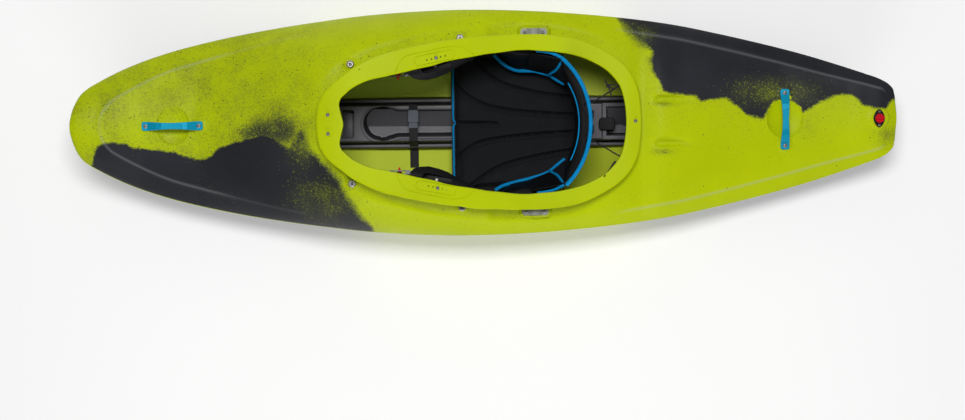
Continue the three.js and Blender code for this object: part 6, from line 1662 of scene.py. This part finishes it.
class KAYAK_OT_rail(bpy.types.Operator):
    """Mould the centre rail with its keyhole, its window and its rear recess"""

    bl_idname = "kayak.rail"
    bl_label = "Centre rail"

    def execute(self, context):
        across, count = 130, 420

        def place(u, v):
            x = mix(RAIL_FRONT, RAIL_REAR, v)
            if u <= 0.8:
                y = mix(-RAIL_HALF, RAIL_HALF, u / 0.8)
                return Vector((x, y, rail_height(x, y)[0]))
            return Vector((x, mix(RAIL_HALF, -RAIL_HALF, (u - 0.8) / 0.2), 0.0068))

        bm = grid(across, count, place)
        window = [(x + WINDOW_PLACE, y) for x, y in slot_outline((0, 0), 0.0185, 0.007, 0, 24)]
        window = [(x, y + math.copysign(0.034, y)) for x, y in window]
        rail = make_piece("seat_rail_piece", carve(bm, [prism(window, 0, 0.1)]), "tray_plastic",
                          stands_for=["seat_rail"], crease=50)
        inner = [(mix(WINDOW_PLACE, x, 0.976), 0.985 * y) for x, y in window]
        make_piece("rail_window_floor", round_edges(prism(inner, 0.0068, 0.02), 0.0008), "tray_plastic")
        spots = [v.co for v in rail.data.vertices]
        # Painted shade: the rail's steep walls and its underside are marked for darkening
        store(rail.data, "wall", [rail_height(p.x, p.y)[1] if p.z > 0.008 else 1 for p in spots])
        return {"FINISHED"}


# Where each brace is cut away round its ratchet, and a cross over its recess, as X and Y outwards
BRACE_ROOM = [
    (-0.3, 0.08), (-0.14, 0.08), (-0.14, 0.1165), (-0.18, 0.1175), (-0.197, 0.1215), (-0.2075, 0.131),
    (-0.2075, 0.1372), (-0.3, 0.1372),
]
RECESS_CROSS = [(-0.047, 0), (0.047, 0), (0, 0.0145), (0, -0.0145)]
RECESS_PLACE = -0.1335


class KAYAK_OT_braces(bpy.types.Operator):
    """Trim the thigh braces round their ratchets and close the floor of their long recess"""

    bl_idname = "kayak.braces"
    bl_label = "Thigh braces"

    def execute(self, context):
        for name, side in SIDES:
            room = [(x, side * out) for x, out in BRACE_ROOM][::side]
            for node, finish in (("thigh_brace_", "black_plastic"), ("thigh_pad_", "foam")):
                bm = bmesh.new()
                bm.from_mesh(frame["nodes"][node + name].data)
                bmesh.ops.remove_doubles(bm, verts=bm.verts, dist=1e-6)
                piece = make_piece(node + "piece_" + name, carve(bm, [prism(room, 0.25, 0.36)]), finish,
                                   stands_for=[node + name], crease=30)
                bevel_edges(piece, 0.0012, 35)
            centre = (RECESS_PLACE, side * (opening_radius_at(RECESS_PLACE) - 0.004))
            cross = [(centre[0] + a, centre[1] + b) for a, b in RECESS_CROSS]
            level = min(heights_on(bpy.data.objects["thigh_brace_piece_" + name], cross, 0.31)) - 0.005
            floor = prism(slot_outline(centre, 0.0455, 0.0145, side * 0.23), level - 0.012, level)
            make_piece("brace_recess_" + name, round_edges(floor, 0.001), "black_plastic")
            head = [(0, -0.002), (0.0024, -0.002), (0.0026, 0.0012), (0.0042, 0.0008), (0.0048, -0.001),
                    (0.0048, -0.003), (0, -0.003)]
            screw = turned(head, 28, (-0.137, side * (abs(centre[1]) + 0.002), level + 0.0025))
            make_piece("brace_recess_screw_" + name, screw, "stainless")
        return {"FINISHED"}


TAB_PLACE = -0.2382
TAB_HALF = [(0.0075, 0.1385), (0.0072, 0.133), (0.0034, 0.1275), (0.0026, 0.1215), (0.0014, 0.119)]
TAB_OUTLINE = TAB_HALF + [(-x, out) for x, out in TAB_HALF[::-1]]


class KAYAK_OT_fittings(bpy.types.Operator):
    """Finish the handles, the drain, the bars, the ratchets, the foot rails and the footrests"""

    bl_idname = "kayak.fittings"
    bl_label = "Fittings"

    def execute(self, context):
        finishes = {
            "teal_metal": ["bow_handle", "stern_handle"],
            "red_plastic": ["drain_plug"],
            "rubber": ["drain_seal"],
            "grey_plastic": ["buckle_body", "buckle_tongue"],
            "foam": ["front_pillar", "rear_pillar"],
            "stainless": ["backband_pin"],
            "plate_steel": ["security_bar_port", "security_bar_starboard"],
            "dull_metal": ["ratchet_base_port", "ratchet_base_starboard", "ratchet_lever_port",
                           "ratchet_lever_starboard"],
            "black_plastic": ["drain_flange", "seat_pan", "backband_shell", "foot_rail_port",
                              "foot_rail_starboard", "foot_plate_port", "foot_plate_starboard"],
        }
        for finish, nodes in finishes.items():
            for node in nodes:
                finish_cad(node, finish, 0.0012 if "handle" in node or "rail" in node else 0.0006)
        for name, side in SIDES:
            tab = prism([(TAB_PLACE + x, side * out) for x, out in TAB_OUTLINE], 0.2944, 0.2972)
            make_piece("ratchet_tab_" + name, round_edges(tab, 0.0006), "red_plastic",
                       "ratchet_release_" + name, ["ratchet_release_" + name])
        return {"FINISHED"}


class KAYAK_PT_panel(bpy.types.Panel):
    """Lists the kayak's colours, its sizes and its steps in the order they run."""

    bl_label = "Kayak"
    bl_space_type = "VIEW_3D"
    bl_region_type = "UI"
    bl_category = "Kayak"

    def draw(self, context):
        for group in (context.scene.kayak_colours, context.scene.kayak_sizes):
            for name in group.__annotations__:
                self.layout.prop(group, name)
        for step_class in STEPS:
            self.layout.operator(step_class.bl_idname)


STEPS = [
    KAYAK_OT_camera, KAYAK_OT_finishes, KAYAK_OT_cords, KAYAK_OT_studio, KAYAK_OT_hull, KAYAK_OT_rim,
    KAYAK_OT_screws, KAYAK_OT_fittings, KAYAK_OT_rail, KAYAK_OT_braces, KAYAK_OT_seat_cushion,
    KAYAK_OT_hip_pads, KAYAK_OT_backband, KAYAK_OT_bottle_strap, KAYAK_OT_cord_ends,
]
GROUPS = [KayakColours, KayakSizes]


def register():
    for group in GROUPS + STEPS + [KAYAK_PT_panel]:
        bpy.utils.register_class(group)
    bpy.types.Scene.kayak_colours = PointerProperty(type=KayakColours)
    bpy.types.Scene.kayak_sizes = PointerProperty(type=KayakSizes)


def unregister():
    del bpy.types.Scene.kayak_colours
    del bpy.types.Scene.kayak_sizes
    for group in reversed(GROUPS + STEPS + [KAYAK_PT_panel]):
        bpy.utils.unregister_class(group)


def main():
    register()
    for step_class in STEPS:
        family, name = step_class.bl_idname.split(".")
        getattr(getattr(bpy.ops, family), name)()
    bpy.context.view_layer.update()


if __name__ == "__main__":
    main()
